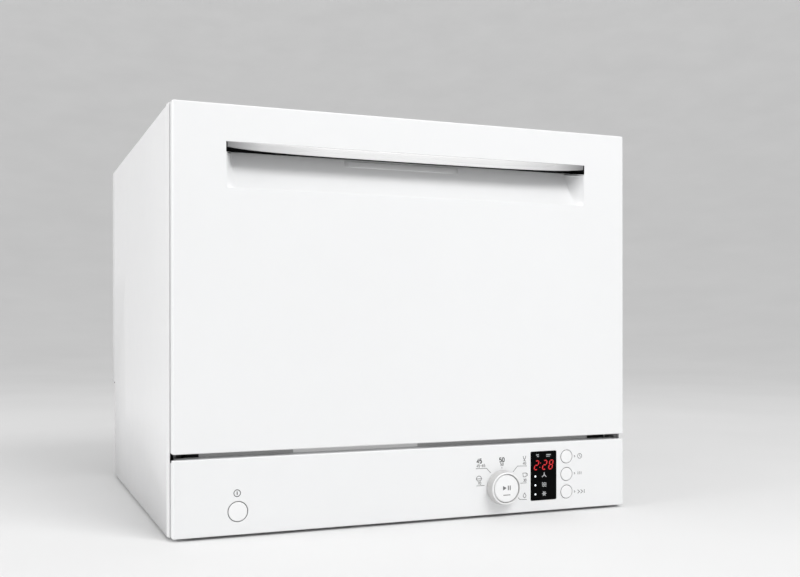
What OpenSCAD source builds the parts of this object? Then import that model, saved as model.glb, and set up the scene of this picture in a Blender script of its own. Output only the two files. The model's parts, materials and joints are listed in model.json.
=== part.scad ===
// Countertop dishwasher. Millimetres, +Z up, front faces -Y, origin on the
// resting plane under the centre of the overall box.

/* [Cabinet] */
// Overall width
body_w = 551; // [540:1:560]
// Height of the cabinet above the resting plane
body_h = 450; // [448:1:455]
// Gap under the cabinet left by the feet
foot_gap = 3; // [3:0.5:5]
// Thickness of the folded sheet of the casing
sheet_t = 1.2; // [0.8:0.1:1.4]
// Depth of the pocket at the lower rear for hoses
rear_recess = 26; // [22:1:28]
// Height of that pocket
recess_h = 138; // [136:1:142]

/* [Door] */
// Depth of the door and fascia mouldings in front of the casing
front_d = 20.6; // [20:0.1:21]
// Height of the lower edge of the door
door_z = 89; // [88.5:0.5:90]
// Half length of the handle recess
grip_x = 216; // [205:1:220]
// Height of the lower edge of the handle recess
scoop_z0 = 363; // [355:1:368]
// Height of the top edge of the handle recess
scoop_z1 = 411; // [408:1:413]
// Depth of the handle recess
scoop_d = 27; // [24:1:28]

/* [Controls] */
// Radius of the programme knob at its foot
knob_r = 19.7; // [18:0.1:20]
// Height of the knob in front of the fascia
knob_d = 12; // [11:0.5:12]
// Radius of the start button in the middle of the knob
start_r = 15.9; // [15:0.1:16]
// Radius of the power button
power_r = 10.4; // [9:0.1:10.6]
// Radius of an option button
opt_r = 7.8; // [7:0.1:8]

/* [Tub and rack] */
// Half width of the wash space
tub_x = 245; // [242:1:246]
// Height of the tub floor
tub_z0 = 104; // [104:1:105]
// Height of the tub ceiling
tub_z1 = 424; // [420:1:424]
// Width of a rack wire
wire = 4; // [3.5:0.1:4.2]
// Radius of a rack wheel
wheel_r = 10.7; // [10.5:0.1:10.7]
// Reach of the spray arm from its centre
arm_r = 188; // [170:1:190]

/* [Hidden] */
$fn = 48;
eps = 0.01;
hw = body_w / 2;
yf = -244;
yc = yf + front_d + 0.4;
yr = 256;
ax_y = -228;
ax_z = 100.5;
tub_y0 = -200;
tub_y1 = 212;
hub = [0, 6];
sump_c = [96, -74];
salt_c = [-120, 82];
knob_c = [105.2, 34];
power_c = [-205.2, 27.2];
disp = [143.3, 178.2, 15.4, 73];
opt_x = 192;
opt_zs = [65.1, 44.3, 23.5];
rails_top = 123;
wg = 0.03;

// A box from corner a to corner b.
module bx(a, b) { translate(a) cube([b[0] - a[0], b[1] - a[1], b[2] - a[2]]); }
// A cylinder along +Y from y0 to y1.
module cy(x, y0, y1, z, r) { translate([x, y1, z]) rotate([90, 0, 0]) cylinder(h = y1 - y0, r = r); }
// A cylinder along +X from x0 to x1.
module cx(x0, x1, y, z, r) { translate([x0, y, z]) rotate([0, 90, 0]) cylinder(h = x1 - x0, r = r); }
// A cylinder along +Z.
module cz(x, y, z0, z1, r) { translate([x, y, z0]) cylinder(h = z1 - z0, r = r); }
// A cone along -Y, radius r0 at y0 and r1 at y1, with y1 < y0.
module coney(x, y0, y1, z, r0, r1) { translate([x, y0, z]) rotate([90, 0, 0]) cylinder(h = y0 - y1, r1 = r0, r2 = r1); }
// A flat shape given in Y and Z, extruded from x0 to x1.
module yz(x0, x1) { translate([x0, 0, 0]) rotate([90, 0, 90]) linear_extrude(height = x1 - x0) children(); }
// A flat shape given in X and Z, extruded from y0 to y1.
module xz(y0, y1) { translate([0, y1, 0]) rotate([90, 0, 0]) linear_extrude(height = y1 - y0) children(); }
module both() { children(); mirror([1, 0, 0]) children(); }

// Plan outline shared by the door and the fascia, with rounded front corners.
// Both stand between the side trims.
module front_plan(inset) {
  w = hw - 2.4 - inset;
  polygon([[-w, yc - 0.4], [-w, yf + 4.2 + inset], [-w + 0.5, yf + 2 + inset],
    [-w + 1.3, yf + 0.7 + inset], [-w + 2.6, yf + inset], [w - 2.6, yf + inset],
    [w - 1.3, yf + 0.7 + inset], [w - 0.5, yf + 2 + inset], [w, yf + 4.2 + inset],
    [w, yc - 0.4]]);
}

// ---------------------------------------------------------------- cabinet
module casing_profile(g) {
  r = 4 - g;
  union() {
    translate([-hw + g, foot_gap]) square([body_w - 2 * g, body_h - foot_gap - 4]);
    translate([-hw + 4, body_h - 5]) square([body_w - 8, 5 - g]);
    for (s = [-1, 1]) translate([s * (hw - 4), body_h - 4]) circle(r = r);
  }
}
module outer_casing() {
  color([0.93, 0.935, 0.94]) difference() {
    union() {
      difference() {
        xz(yc, yr) casing_profile(0);
        translate([0, 0, 0]) xz(yc - 1, yr + 1) union() {
          casing_profile(sheet_t);
          translate([-hw + sheet_t, foot_gap - 1]) square([body_w - 2 * sheet_t, 3]);
        }
      }
      both() bx([263, yc, 118], [hw - 0.5, yc + sheet_t, body_h - 8]);
      bx([-hw + 3, yc, body_h - 8], [hw - 3, yc + sheet_t, body_h - 0.5]);
    }
    bx([-hw - 1, yr - rear_recess, 0], [hw + 1, yr + 1, recess_h]);
  }
}
// Strips in front of the casing's side edges, which close the side of the gap
// between the door and the fascia.
module side_trims() {
  color([0.93, 0.935, 0.94]) both() translate([0, 0, foot_gap])
    linear_extrude(height = body_h - foot_gap - 1)
      polygon([[hw, yc - 0.02], [hw - 1.1, yc - 13.6], [hw - 1.5, yc - 14], [hw - 2, yc - 14], [hw - 2, yc - 0.02]]);
}
module rear_panel() {
  color([0.75, 0.76, 0.77]) difference() {
    union() {
      bx([-hw + 1.6, 253.4, recess_h + 0.5], [hw - 1.6, 254.6, body_h - 5.5]);
      bx([-hw + 5, 253.4, body_h - 5.6], [hw - 5, 254.6, body_h - 1.6]);
      for (z = [200, 330]) bx([-200, 254.6 - eps, z], [200, 255.6, z + 60]);
    }
    for (x = [-255, 255], z = [152, 290, 432]) cy(x, 250, 256, z, 2.2);
  }
}
module base_tray() {
  color([0.32, 0.33, 0.34]) difference() {
    union() {
      difference() {
        bx([-273.8, yc + 0.6, foot_gap], [273.8, 229.6, 60]);
        bx([-271.3, yc + 3.1, foot_gap + 3], [271.3, 227.1, 61]);
      }
      bx([-273.8, 227.1, 55], [273.8, 229.6, recess_h - 2.5]);
      bx([-273.8, 227.1, recess_h - 2.5], [273.8, 253, recess_h]);
      for (x = [-232, 232], y = [-140, 180]) bx([x - 11, y - 11, foot_gap + 2], [x + 11, y + 11, 102.9]);
      for (x = [-215, 215], y = [-188, 186]) cz(x, y, foot_gap + 2, 24, 9);
    }
    for (x = [-215, 215], y = [-188, 186]) cz(x, y, -1, 20, 4.06);
    cy(-170, 220, 235, 92, 13.7);
    cy(-112, 220, 235, 92, 10.4);
    bx([168, 220, 66], [212, 235, 110]);
    for (x = [-120 : 24 : 120]) bx([x - 7, -120, 0], [x + 7, -60, foot_gap + 4]);
  }
}
// The sheets meet with a hair gap at their welds, so that each is a flat sheet.
module tub() {
  color([0.78, 0.79, 0.80]) difference() {
    union() {
      bx([-tub_x - 1, tub_y0 - 1, tub_z0 - 1], [tub_x + 1, tub_y1 + 1, tub_z1 + 1]);
      bx([-261.5, tub_y0 - 1, 90], [261.5, tub_y0, 442]);
    }
    bx([-tub_x, tub_y0 - 2, tub_z0], [tub_x, tub_y1, tub_z1]);
    cz(sump_c[0], sump_c[1], tub_z0 - 3, tub_z0 + 1, 47);
    cz(salt_c[0], salt_c[1], tub_z0 - 3, tub_z0 + 1, 29.6);
    cz(hub[0], hub[1], tub_z0 - 3, tub_z0 + 1, 14.2);
    bx([-9, tub_y0 - 2, 431.5], [9, tub_y0 + 1, 443]);
    // the front frame against the walls
    bx([-262, tub_y0 - wg, 102], [262, tub_y0 + wg, 426]);
    // the side walls, the floor and the ceiling against each other
    both() bx([tub_x - wg, tub_y0, 102], [tub_x + wg, 214, 426]);
    for (z = [tub_z0, tub_z1]) bx([-tub_x, tub_y0, z - wg], [tub_x, 214, z + wg]);
    // the frame's own corners
    both() for (z = [tub_z0, tub_z1]) bx([tub_x, tub_y0 - 1.1, z - wg], [262, tub_y0, z + wg]);
    both() bx([9 - wg, tub_y0 - 1.1, tub_z1], [9 + wg, tub_y0, 443]);
    // the floor around the well of the filter
    for (y = [-47, 47]) bx([-tub_x, sump_c[1] + y - wg, 102], [tub_x, sump_c[1] + y + wg, tub_z0 + 0.1]);
    for (x = [-47, 47]) bx([sump_c[0] + x - wg, sump_c[1] - 47, 102], [sump_c[0] + x + wg, sump_c[1] + 47, tub_z0 + 0.1]);
  }
}
module door_gasket() {
  color([0.36, 0.37, 0.38]) difference() {
    bx([-257, -205.2, 97.5], [257, tub_y0 - 1, 431.2]);
    bx([-249, -206, 102.6], [249, tub_y0, 426]);
  }
}
module drip_strip() {
  color([0.45, 0.46, 0.47]) union() {
    bx([-240, -214.8, 60.5], [240, -212.3, 94]);
    bx([-240, -212.4, 91.5], [240, tub_y0 - 1, 94]);
    bx([-136.7, -215.4, 76], [11.7, -214.7, 92]);
  }
}
module hinge_brackets() {
  color([0.62, 0.63, 0.65]) both() union() {
    difference() {
      yz(264, 266.8) polygon([[-214, foot_gap + 3], [-170, foot_gap + 3], [-170, 60], [-185, 112],
        [-213, 112], [-228, 107.5], [-233.5, 104.5], [-235, 100.5], [-233.5, 96.5], [-229, 93.5],
        [-222, 92.5], [-214.5, 89.5], [-214.5, 84]]);
      cx(260, 270, -195, 90, 3);
    }
    cx(266.7, 270.6, ax_y, ax_z, 4);
    bx([250, -200, foot_gap + 3], [264.1, -172, foot_gap + 5]);
  }
}
module rack_rails() {
  color([0.72, 0.73, 0.74]) both() union() {
    bx([231, -192, rails_top - 4], [tub_x, 200, rails_top]);
    bx([231, -192, rails_top - 4], [233, 200, rails_top + 2]);
  }
}
module lock_housing() {
  color([0.2, 0.2, 0.21]) difference() {
    bx([-22, tub_y0 + 0.3, 427], [22, -165, 447]);
    bx([-8, tub_y0 - 1, 432.6], [8, -184, 441.6]);
    bx([-6.4, -195.4, 441], [6.4, -186.6, 445.6]);
  }
}
module lock_catch() {
  color([0.85, 0.85, 0.82]) union() {
    bx([-6, -195, 441.9], [6, -187, 444.2]);
    yz(-3, 3) polygon([[-194, 442], [-188, 442], [-190, 441.4], [-192, 441.4]]);
  }
}
module rear_feet() {
  color([0.15, 0.15, 0.16]) for (x = [-215, 215]) union() {
    cz(x, 186, 0, foot_gap - 0.1, 16);
    cz(x, 186, foot_gap - 0.2, 19, 4.06);
  }
}
module level_foot(x) {
  color([0.15, 0.15, 0.16]) union() {
    cz(x, -188, 0, foot_gap - 0.3, 16);
    cz(x, -188, foot_gap - 0.4, 19, 4);
  }
}
module levelling_foot_left() { level_foot(-215); }
module levelling_foot_right() { level_foot(215); }

// ---------------------------------------------------------------- water system
module spray_hub() {
  color([0.8, 0.81, 0.82]) union() {
    cz(hub[0], hub[1], 84, 107, 14);
    cz(hub[0], hub[1], 106, 111.6, 11);
    cz(hub[0], hub[1], 111, 124, 8);
    bx([-9, hub[1] - 9, 70], [60, hub[1] + 9, 88]);
  }
}
module spray_arm() {
  color([0.62, 0.64, 0.66]) difference() {
    union() {
      cz(hub[0], hub[1], 112, 121.5, 21);
      for (a = [0, 180]) translate([hub[0], hub[1], 113]) rotate([0, 0, a + 28])
        linear_extrude(height = 6.5) polygon([[0, -19], [60, -22], [130, -15], [arm_r - 14, 2],
          [arm_r - 3, 12], [arm_r, 24], [arm_r - 8, 31], [arm_r - 26, 26], [120, 16], [60, 12], [0, 17]]);
    }
    cz(hub[0], hub[1], 100, 130, 8.06);
    for (a = [0, 180]) translate([hub[0], hub[1], 0]) rotate([0, 0, a + 28])
      for (p = [[55, -6], [95, -3], [135, 3], [172, 20]]) translate([p[0], p[1], 110]) cylinder(h = 12, r = 1.6);
  }
}
module filter_plate() {
  color([0.75, 0.76, 0.78]) difference() {
    cz(sump_c[0], sump_c[1], tub_z0, tub_z0 + 1.6, 54);
    cz(sump_c[0], sump_c[1], tub_z0 - 1, tub_z0 + 3, 24);
  }
}
module filter_cup() {
  color([0.68, 0.70, 0.72]) translate([sump_c[0], sump_c[1], 0]) difference() {
    union() {
      translate([0, 0, 64]) cylinder(h = 44.5, r = 22.5);
      translate([0, 0, 106]) cylinder(h = 2.5, r = 27);
    }
    translate([0, 0, 66]) cylinder(h = 50, r = 20.5);
  }
  color([0.3, 0.5, 0.7]) translate([sump_c[0], sump_c[1], 0])
    translate([-21, -2, 100]) cube([42, 4, 9.5]);
}
module sump() {
  color([0.3, 0.31, 0.32]) translate([sump_c[0], sump_c[1], 0]) difference() {
    union() {
      translate([0, 0, 52]) cylinder(h = 50.9, r = 46);
      translate([0, 0, 97]) cylinder(h = 5.9, r = 55);
      translate([-70, -12, 56]) cube([40, 24, 24]);
    }
    translate([0, 0, 56]) cylinder(h = 60, r = 42.5);
  }
}
module wash_pump() {
  color([0.25, 0.26, 0.28]) difference() {
    union() {
      cy(60, 60, 150, 48, 31);
      cy(60, 22, 62, 48, 37);
      bx([40, 30, 6], [80, 140, 22]);
      cy(60, 8, 24, 48, 14);
    }
    cy(60, 28, 56, 48, 31);
    cy(60, 50, 70, 48, 3.06);
    cy(60, 0, 30, 48, 10);
  }
}
module wash_impeller() {
  color([0.85, 0.85, 0.86]) union() {
    cy(60, 49, 53, 48, 28);
    cy(60, 40, 50, 48, 8);
    for (a = [0 : 60 : 300]) translate([60, 0, 48]) rotate([0, a, 0]) bx([6, 34, -1], [27, 49.5, 1]);
    cy(60, 52, 68, 48, 3);
  }
}
module drain_pump() {
  color([0.22, 0.23, 0.24]) union() {
    cy(150, -20, 40, 40, 24);
    bx([128, 12, 6], [172, 36, 20]);
    cy(150, -40, -19, 40, 16);
    bx([141, -38, 40], [159, -22, 78]);
  }
}
module softener() {
  color([0.86, 0.86, 0.84]) difference() {
    union() {
      bx([-226, 36, 8], [-72, 160, 84]);
      cz(salt_c[0], salt_c[1], 80, 105.6, 29);
    }
    cz(salt_c[0], salt_c[1], 30, 110, 24);
  }
}
module salt_cap() {
  color([0.2, 0.35, 0.6]) union() {
    cz(salt_c[0], salt_c[1], 106, 109, 30);
    cz(salt_c[0], salt_c[1], 90, 106.5, 23.6);
    translate([salt_c[0], salt_c[1], 0]) for (a = [0, 90]) rotate([0, 0, a]) bx([-24, -2.5, 108.5], [24, 2.5, 111.2]);
  }
}
module inlet_valve() {
  color([0.88, 0.88, 0.86]) union() {
    bx([-190, 178, 74], [-150, 227, 101.6]);
    bx([-186, 168, 78], [-154, 178.5, 99]);
    bx([-186, 214.5, 101], [-154, 227, 116]);
    cy(-170, 226, 248, 92, 13.2);
    cy(-170, 229.8, 233, 92, 17);
  }
}
module drain_spigot() {
  color([0.25, 0.25, 0.26]) union() {
    cy(-112, 205, 233, 92, 9.8);
    cy(-112, 232, 250, 92, 10);
    cy(-112, 229.8, 232.5, 92, 14);
    cz(-112, 205, 40, 101.8, 9.8);
  }
}
module air_break() {
  color([0.85, 0.86, 0.87]) union() {
    bx([-270, -70, 150], [-250, 150, 400]);
    for (z = [200, 250, 300, 350]) bx([-272.5, -60, z], [-269.5, 140, z + 6]);
    bx([-270, 100, 120], [-254, 124, 151]);
  }
}
module inner_pipes() {
  color([0.16, 0.16, 0.17]) union() {
    bx([-268, 100, 30], [-250, 118, 119.5]);
    bx([-268, 117.5, 30], [-250, 212, 46]);
    bx([-250.5, 196, 30], [-122.5, 212, 46]);
    bx([120, -92, 24], [132, -50, 36]);
  }
}

// ---------------------------------------------------------------- controls
module control_board() {
  color([0.15, 0.4, 0.25]) union() {
    difference() {
      bx([82, -229, 8], [236, -227.4, 73.5]);
      cy(knob_c[0], -230, -226, knob_c[1], 3);
    }
    bx([102, -232, 28.5], [112, -228.9, 38.5]);
    bx([144, -239, 17], [177, -228.9, 71]);
    for (z = opt_zs) bx([opt_x - 3, -232, z - 3], [opt_x + 3, -228.9, z + 3]);
    bx([90, -227.5, 12], [230, -223.4, 26]);
  }
  color([0.15, 0.4, 0.25]) union() {
    bx([-222, -229, 12], [-188, -227.4, 46]);
    bx([power_c[0] - 4, -232, power_c[1] - 4], [power_c[0] + 4, -228.9, power_c[1] + 4]);
  }
}
module fascia() {
  color([0.93, 0.935, 0.94]) difference() {
    union() {
      difference() {
        translate([0, 0, foot_gap]) linear_extrude(height = 80) front_plan(0);
        translate([0, 0, foot_gap + 2.5]) linear_extrude(height = 90) union() {
          intersection() {
            front_plan(2.5);
            translate([-hw + 5, -300]) square([body_w - 10, 100]);
          }
          translate([-hw + 5, yc - 3]) square([body_w - 10, 10]);
        }
      }
      bx([-hw + 4.5, yf + 2.4, 75.5], [hw - 4.5, yc - 0.4, 78]);
      cy(knob_c[0], -249.2, yf + 3, knob_c[1], 14);
    }
    cy(knob_c[0], -260, -230, knob_c[1], 4.3);
    cy(power_c[0], -250, -238, power_c[1], power_r + 0.3);
    bx([disp[0], -250, disp[2]], [disp[1], -238, disp[3]]);
    both() bx([268, yf + 5, 80], [280, yc + 1, 84]);
    for (z = opt_zs) cy(opt_x, -250, -238, z, opt_r + 0.3);
  }
}
module display_window() {
  color([0.02, 0.02, 0.02]) union() {
    bx([disp[0] + 0.1, yf - 0.1, disp[2] + 0.1], [disp[1] - 0.1, yf + 2.6, disp[3] - 0.1]);
    bx([disp[0] - 1, yf + 2.5, disp[2] - 1.6], [disp[1] + 1, yf + 4, disp[3] + 1]);
  }
}
module programme_knob() {
  color([0.9, 0.9, 0.91]) difference() {
    coney(knob_c[0], yf - 0.4, yf - knob_d, knob_c[1], knob_r, knob_r - 1.5);
    cy(knob_c[0], -260, -240, knob_c[1], 14.06);
    cy(knob_c[0], -260, -247, knob_c[1], start_r + 0.35);
  }
}
module start_button() {
  color([0.95, 0.95, 0.96]) union() {
    cy(knob_c[0], yf - knob_d + 0.2, -250.8, knob_c[1], start_r);
    cy(knob_c[0], -251, -233.6, knob_c[1], 4);
  }
}
module power_button() {
  color([0.95, 0.95, 0.96]) union() {
    cy(power_c[0], yf - 0.2, yf + 3.6, power_c[1], power_r);
    cy(power_c[0], yf + 3.5, yf + 4.9, power_c[1], power_r + 2);
    cy(power_c[0], yf + 4.8, -234.4, power_c[1], 3);
  }
}
module option_button(z) {
  color([0.95, 0.95, 0.96]) union() {
    cy(opt_x, yf - 0.3, yf + 4, z, opt_r);
    cy(opt_x, yf + 3.6, yf + 4.8, z, opt_r + 1.4);
    cy(opt_x, yf + 4.7, -233.4, z, 2);
  }
}
module option_button_1() { option_button(opt_zs[0]); }
module option_button_2() { option_button(opt_zs[1]); }
module option_button_3() { option_button(opt_zs[2]); }
module mains_inlet() {
  color([0.12, 0.12, 0.13]) difference() {
    union() {
      bx([170, 214.6, 68], [210, 231.6, 108]);
      bx([164, 229.7, 62], [216, 232.4, 114]);
      bx([181, 231.5, 79], [199, 240, 97]);
    }
    cy(190, 224, 245, 88, 4.5);
  }
}
module casing_screws() {
  color([0.7, 0.71, 0.72]) for (x = [-255, 255], z = [152, 290, 432]) union() {
    cy(x, 254.6, 255.9, z, 4.2);
    cy(x, 246, 254.7, z, 1.9);
  }
}

// ---------------------------------------------------------------- door
module door_outer_panel() {
  color([0.93, 0.935, 0.94]) difference() {
    translate([0, 0, door_z]) linear_extrude(height = body_h - door_z) front_plan(0);
    translate([0, 0, door_z + 2.5]) linear_extrude(height = body_h - door_z - 5) union() {
      intersection() {
        front_plan(2.5);
        translate([-hw + 4.7, -300]) square([body_w - 9.4, 100]);
      }
      translate([-hw + 4.7, yc - 3]) square([body_w - 9.4, 10]);
    }
    bx([-grip_x - 1.2, -250, scoop_z0 - 0.3], [grip_x + 1.2, -238, scoop_z1 + 0.3]);
    both() bx([262, yf + 2.5, 80], [270.5, yc + 1, door_z + 4]);
  }
}
// Curve of the finger recess: from the front skin back to its deepest line.
function scoop_pt(t) = [yf + scoop_d * t + 3.6 * sin(180 * t), scoop_z0 + (scoop_z1 - 7 - scoop_z0) * t];
module handle_scoop() {
  color([0.9, 0.905, 0.91]) difference() {
    yz(-grip_x - 1, grip_x + 1) polygon([[yf, scoop_z0], [yf, scoop_z1], [yf + 3, scoop_z1], [yf + 3, scoop_z1 + 18],
      [yf + scoop_d + 2, scoop_z1 + 18], [yf + scoop_d + 2, scoop_z1 - 14], [yf + 12, scoop_z0 - 4], [yf + 3, scoop_z0 - 4], [yf + 3, scoop_z0]]);
    yz(-grip_x, grip_x) polygon(concat([[yf - 1, scoop_z0 + 0.6]], [for (i = [0 : 10]) scoop_pt(i / 10) + [0, 0.6]],
      [[yf + scoop_d, scoop_z1 + 15], [yf + 12, scoop_z1 + 15], [yf + 12, scoop_z1 + 1], [yf - 1, scoop_z1 + 1]]));
  }
}
module handle_grip() {
  n = 12;
  color([0.8, 0.81, 0.82]) xz(yf + 0.3, yf + 9) polygon(concat(
    [[-grip_x + 0.3, scoop_z1 - 0.2]],
    [for (i = [0 : n]) [(grip_x - 0.3) * (2 * i / n - 1), scoop_z1 - 5.4 - 3.4 * sin(180 * i / n)]],
    [[grip_x - 0.3, scoop_z1 - 0.2]]));
}
module door_inner_panel() {
  color([0.78, 0.79, 0.80]) difference() {
    union() {
      bx([-262, -224.4, 96], [262, -206, 440]);
      bx([-270.6, -224.4, 92.4], [270.6, -223.4, 447]);
    }
    bx([-261, -225, 97], [261, -207, 439]);
    both() bx([261, -230, 85], [275, -220, 130]);
    bx([-75, -210, 199], [75, -200, 311]);
    both() for (z = [150, 290, 430]) cy(266.6, -226, -222, z, 3.4);
  }
}
module door_insulation() {
  color([0.25, 0.25, 0.26]) bx([-252, -240.5, 112], [252, -233.5, 352]);
}
module detergent_dispenser() {
  color([0.85, 0.86, 0.87]) difference() {
    union() {
      bx([-74.5, -231, 199.5], [74.5, -205.6, 310.5]);
      bx([-80, -205.9, 194], [80, -203.4, 316]);
    }
    bx([-60, -226, 225], [8, -200, 285]);
    cy(45, -215, -200, 255, 14);
  }
}
module dispenser_lid() {
  color([0.75, 0.76, 0.78]) union() {
    bx([-64, -203, 221], [12, -201, 289]);
    bx([-40, -201.1, 270], [-12, -198.4, 280]);
  }
}
module rinse_aid_cap() {
  color([0.25, 0.4, 0.65]) union() {
    cy(45, -203, -200.4, 255, 17);
    cy(45, -212, -202.5, 255, 13.6);
    bx([32, -200.8, 252.5], [58, -198, 257.5]);
  }
}
module door_striker() {
  color([0.7, 0.71, 0.72]) difference() {
    union() {
      bx([-6, -206, 434.4], [6, -187, 437.2]);
      bx([-14, -206, 431.8], [14, -204.6, 437.2]);
    }
    bx([-3, -197, 430], [3, -190, 440]);
  }
}
module hinge_arms() {
  color([0.62, 0.63, 0.65]) both() difference() {
    union() {
      yz(267.2, 270.2) polygon([[-234.5, 96.5], [-231, 93.6], [-226, 93.2], [-222.5, 96], [-221.5, 100.5],
        [-225.6, 108], [-225.6, 250], [-236, 250], [-236, 108]]);
      bx([262.3, -237.4, 140], [270.2, -235.9, 250]);
    }
    cx(260, 275, ax_y, ax_z, 4.06);
  }
}
module door_screws() {
  color([0.6, 0.61, 0.63]) both() for (z = [150, 290, 430]) union() {
    cy(266.6, -224.4, -223.5, z, 3.2);
    cy(266.6, -225.4, -224.3, z, 1.6);
  }
}
module door_springs() {
  color([0.5, 0.51, 0.53]) both() translate([256, -160, 40]) rotate([-90, 0, 0]) difference() {
    cylinder(h = 110, r = 5.5);
    translate([0, 0, -1]) cylinder(h = 112, r = 3.7);
  }
}

// ---------------------------------------------------------------- rack
rk_x = 222;
rk_y0 = -192;
rk_y1 = 192;
rk_z0 = 133;
rk_z1 = 228;
module rack_frame() {
  h = wire / 2;
  color([0.5, 0.52, 0.55]) difference() {
    union() {
    // floor
    for (x = [-rk_x + 16, -160, -108, -56, -4, 48, 112, 160, rk_x - 16]) bx([x - h, -158, rk_z0 - h], [x + h, rk_y1, rk_z0 + h]);
    for (y = [-150, -98, -46, 6, 58, 110, 162]) bx([-rk_x + 14, y - h, rk_z0 - h], [rk_x - 14, y + h, rk_z0 + h]);
    // rim
    bx([-rk_x - h, rk_y0, rk_z1 - h], [rk_x + h, rk_y0 + wire, rk_z1 + h]);
    bx([-rk_x - h, rk_y1 - wire, rk_z1 - h], [rk_x + h, rk_y1, rk_z1 + h]);
    both() bx([rk_x - h, rk_y0, rk_z1 - h], [rk_x + h, rk_y1, rk_z1 + h]);
    both() bx([rk_x - h, rk_y0, 180 - h], [rk_x + h, rk_y1, 180 + h]);
    both() bx([rk_x - h, -176, 146], [rk_x + h, rk_y1, 150]);
    // back wall
    for (x = [-rk_x : 37 : rk_x]) bx([x - h, rk_y1 - wire, rk_z0 - h], [x + h, rk_y1, rk_z1]);
    bx([-rk_x, rk_y1 - wire, rk_z0 - h], [rk_x, rk_y1, rk_z0 + h]);
    // side walls
    both() for (y = [-150, -98, -46, 6, 58, 110, 162]) {
      bx([rk_x - h, y - h, 146], [rk_x + h, y + h, rk_z1]);
      xz(y - h, y + h) polygon([[rk_x - 18, rk_z0 - h], [rk_x - 14, rk_z0 - h], [rk_x + h, 150 - h], [rk_x + h, 152], [rk_x - h, 152], [rk_x - 18, rk_z0 + h]]);
    }
    // front wall, sloped at its foot
    for (x = [-185 : 37 : 185]) yz(x - h, x + h) polygon([[-150, rk_z0 - h], [-158, rk_z0 - h], [rk_y0, 160], [rk_y0, rk_z1],
      [rk_y0 + wire, rk_z1], [rk_y0 + wire, 161.5], [-155, rk_z0 + h], [-150, rk_z0 + h]]);
    bx([-rk_x, rk_y0, 178], [rk_x, rk_y0 + wire, 182]);
    // pivots of the folding tines
    for (x = [[-207.9, -206.4], [106.5, 110.6]]) bx([x[0], -33, rk_z0 - h], [x[1], -27, rk_z0 + wire + 3.8]);
    cx(-207.5, -203, -30, rk_z0 + wire + 1.5, 1.2);
    cx(103, 108, -30, rk_z0 + wire + 1.5, 1.2);
    // pivots of the cup shelf
    for (y = [74, 161]) {
      bx([209, y, 195], [222, y + 3, 204]);
      bx([219, y, 180], [222, y + 3, 204]);
    }
    cy(214, 76, 82, 199.5, 1.5);
    cy(214, 156, 162, 199.5, 1.5);
    // wheel stubs
    both() for (y = [-118, 118]) {
      bx([rk_x - 18, y - 8, rk_z0 - h], [rk_x + 0.5, y + 8, rk_z0 + h]);
      bx([rk_x - 4, y - 8, rk_z0 - 6], [rk_x + 0.5, y + 8, rk_z0 + 14]);
      cx(rk_x, rk_x + 14, y, rails_top + wheel_r + 0.3, 3);
    }
    // cross wire of the sloped foot of the front wall
    yz(-187, 187) polygon([[-172, 142], [-176, 145.5], [-176, 149.5], [-172, 146]]);
    }
    // hair gaps where the walls are welded to the floor and to each other
    both() bx([208 - wg, -193, 125], [208 + wg, rk_y1 - wire, 153]);
    bx([-208, -158 - wg, 125], [208, -158 + wg, 140]);
    bx([-220, rk_y0 - 1, 161.5 - wg], [220, -180, 161.5 + wg]);
    bx([-220, rk_y1 - wire - wg, 125], [220, rk_y1 - wire + wg, 136]);
    both() for (y = [[rk_y0 - 1, rk_y0 + wire + wg], [rk_y1 - wire - wg, rk_y1 + 1]])
      bx([220 - wg, y[0], 125], [220 + wg, y[1], 232]);
  }
}
module comb(y, x0, x1, st, z0, z1) {
  h = wire / 2;
  bx([x0 - 6, y - h, z0], [x1 + 6, y + h, z0 + wire]);
  for (x = [x0 : st : x1]) bx([x - h, y - h, z0], [x + h, y + h, z1]);
}
module rack_tines() {
  color([0.5, 0.52, 0.55]) union() comb(64, -200, 100, 25, rk_z0 + wire / 2, 186);
}
module fold_tines() {
  color([0.5, 0.52, 0.55]) difference() {
    comb(-30, -200, 100, 25, rk_z0 + wire / 2 + 1.5, 187);
    cx(-210, -200, -30, rk_z0 + wire + 1.5, 1.25);
    cx(100, 110, -30, rk_z0 + wire + 1.5, 1.25);
  }
}
module cup_shelf() {
  color([0.62, 0.64, 0.66]) difference() {
    union() {
      for (y = [80, 106, 132, 158]) bx([134, y - 1.6, 198], [212, y + 1.6, 201.2]);
      for (x = [134, 174]) bx([x, 78.4, 198], [x + 3.2, 159.6, 201.2]);
      bx([211, 78.4, 196.8], [216.8, 159.6, 202.2]);
    }
    cy(214, 77, 84, 199.5, 1.56);
    cy(214, 154, 161, 199.5, 1.56);
  }
}
module cutlery_basket() {
  color([0.55, 0.57, 0.6]) difference() {
    union() {
      bx([124, -158, 138], [206, 62, 226]);
    }
    for (i = [0 : 3]) bx([126, -156 + i * 54.5, 140], [204, -156 + i * 54.5 + 52.5, 300]);
    for (i = [0 : 3], j = [0 : 2]) bx([120, -147 + i * 54.5, 150 + j * 24], [210, -112 + i * 54.5, 164 + j * 24]);
  }
  color([0.55, 0.57, 0.6]) xz(-49.2, -45.8) polygon([[126, 200], [126, 226], [152, 252], [178, 252], [204, 226], [204, 200], [200, 200], [200, 224], [176, 248], [154, 248], [130, 224], [130, 200]]);
}
module rwheel(s, y) {
  color([0.8, 0.81, 0.82]) difference() {
    cx(s > 0 ? 225.2 : -230.2, s > 0 ? 230.2 : -225.2, y, rails_top + wheel_r + 0.3, wheel_r);
    cx(-300, 300, y, rails_top + wheel_r + 0.3, 3.06);
  }
}
module rack_wheel_fl() { rwheel(-1, -118); }
module rack_wheel_fr() { rwheel(1, -118); }
module rack_wheel_rl() { rwheel(-1, 118); }
module rack_wheel_rr() { rwheel(1, 118); }

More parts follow.
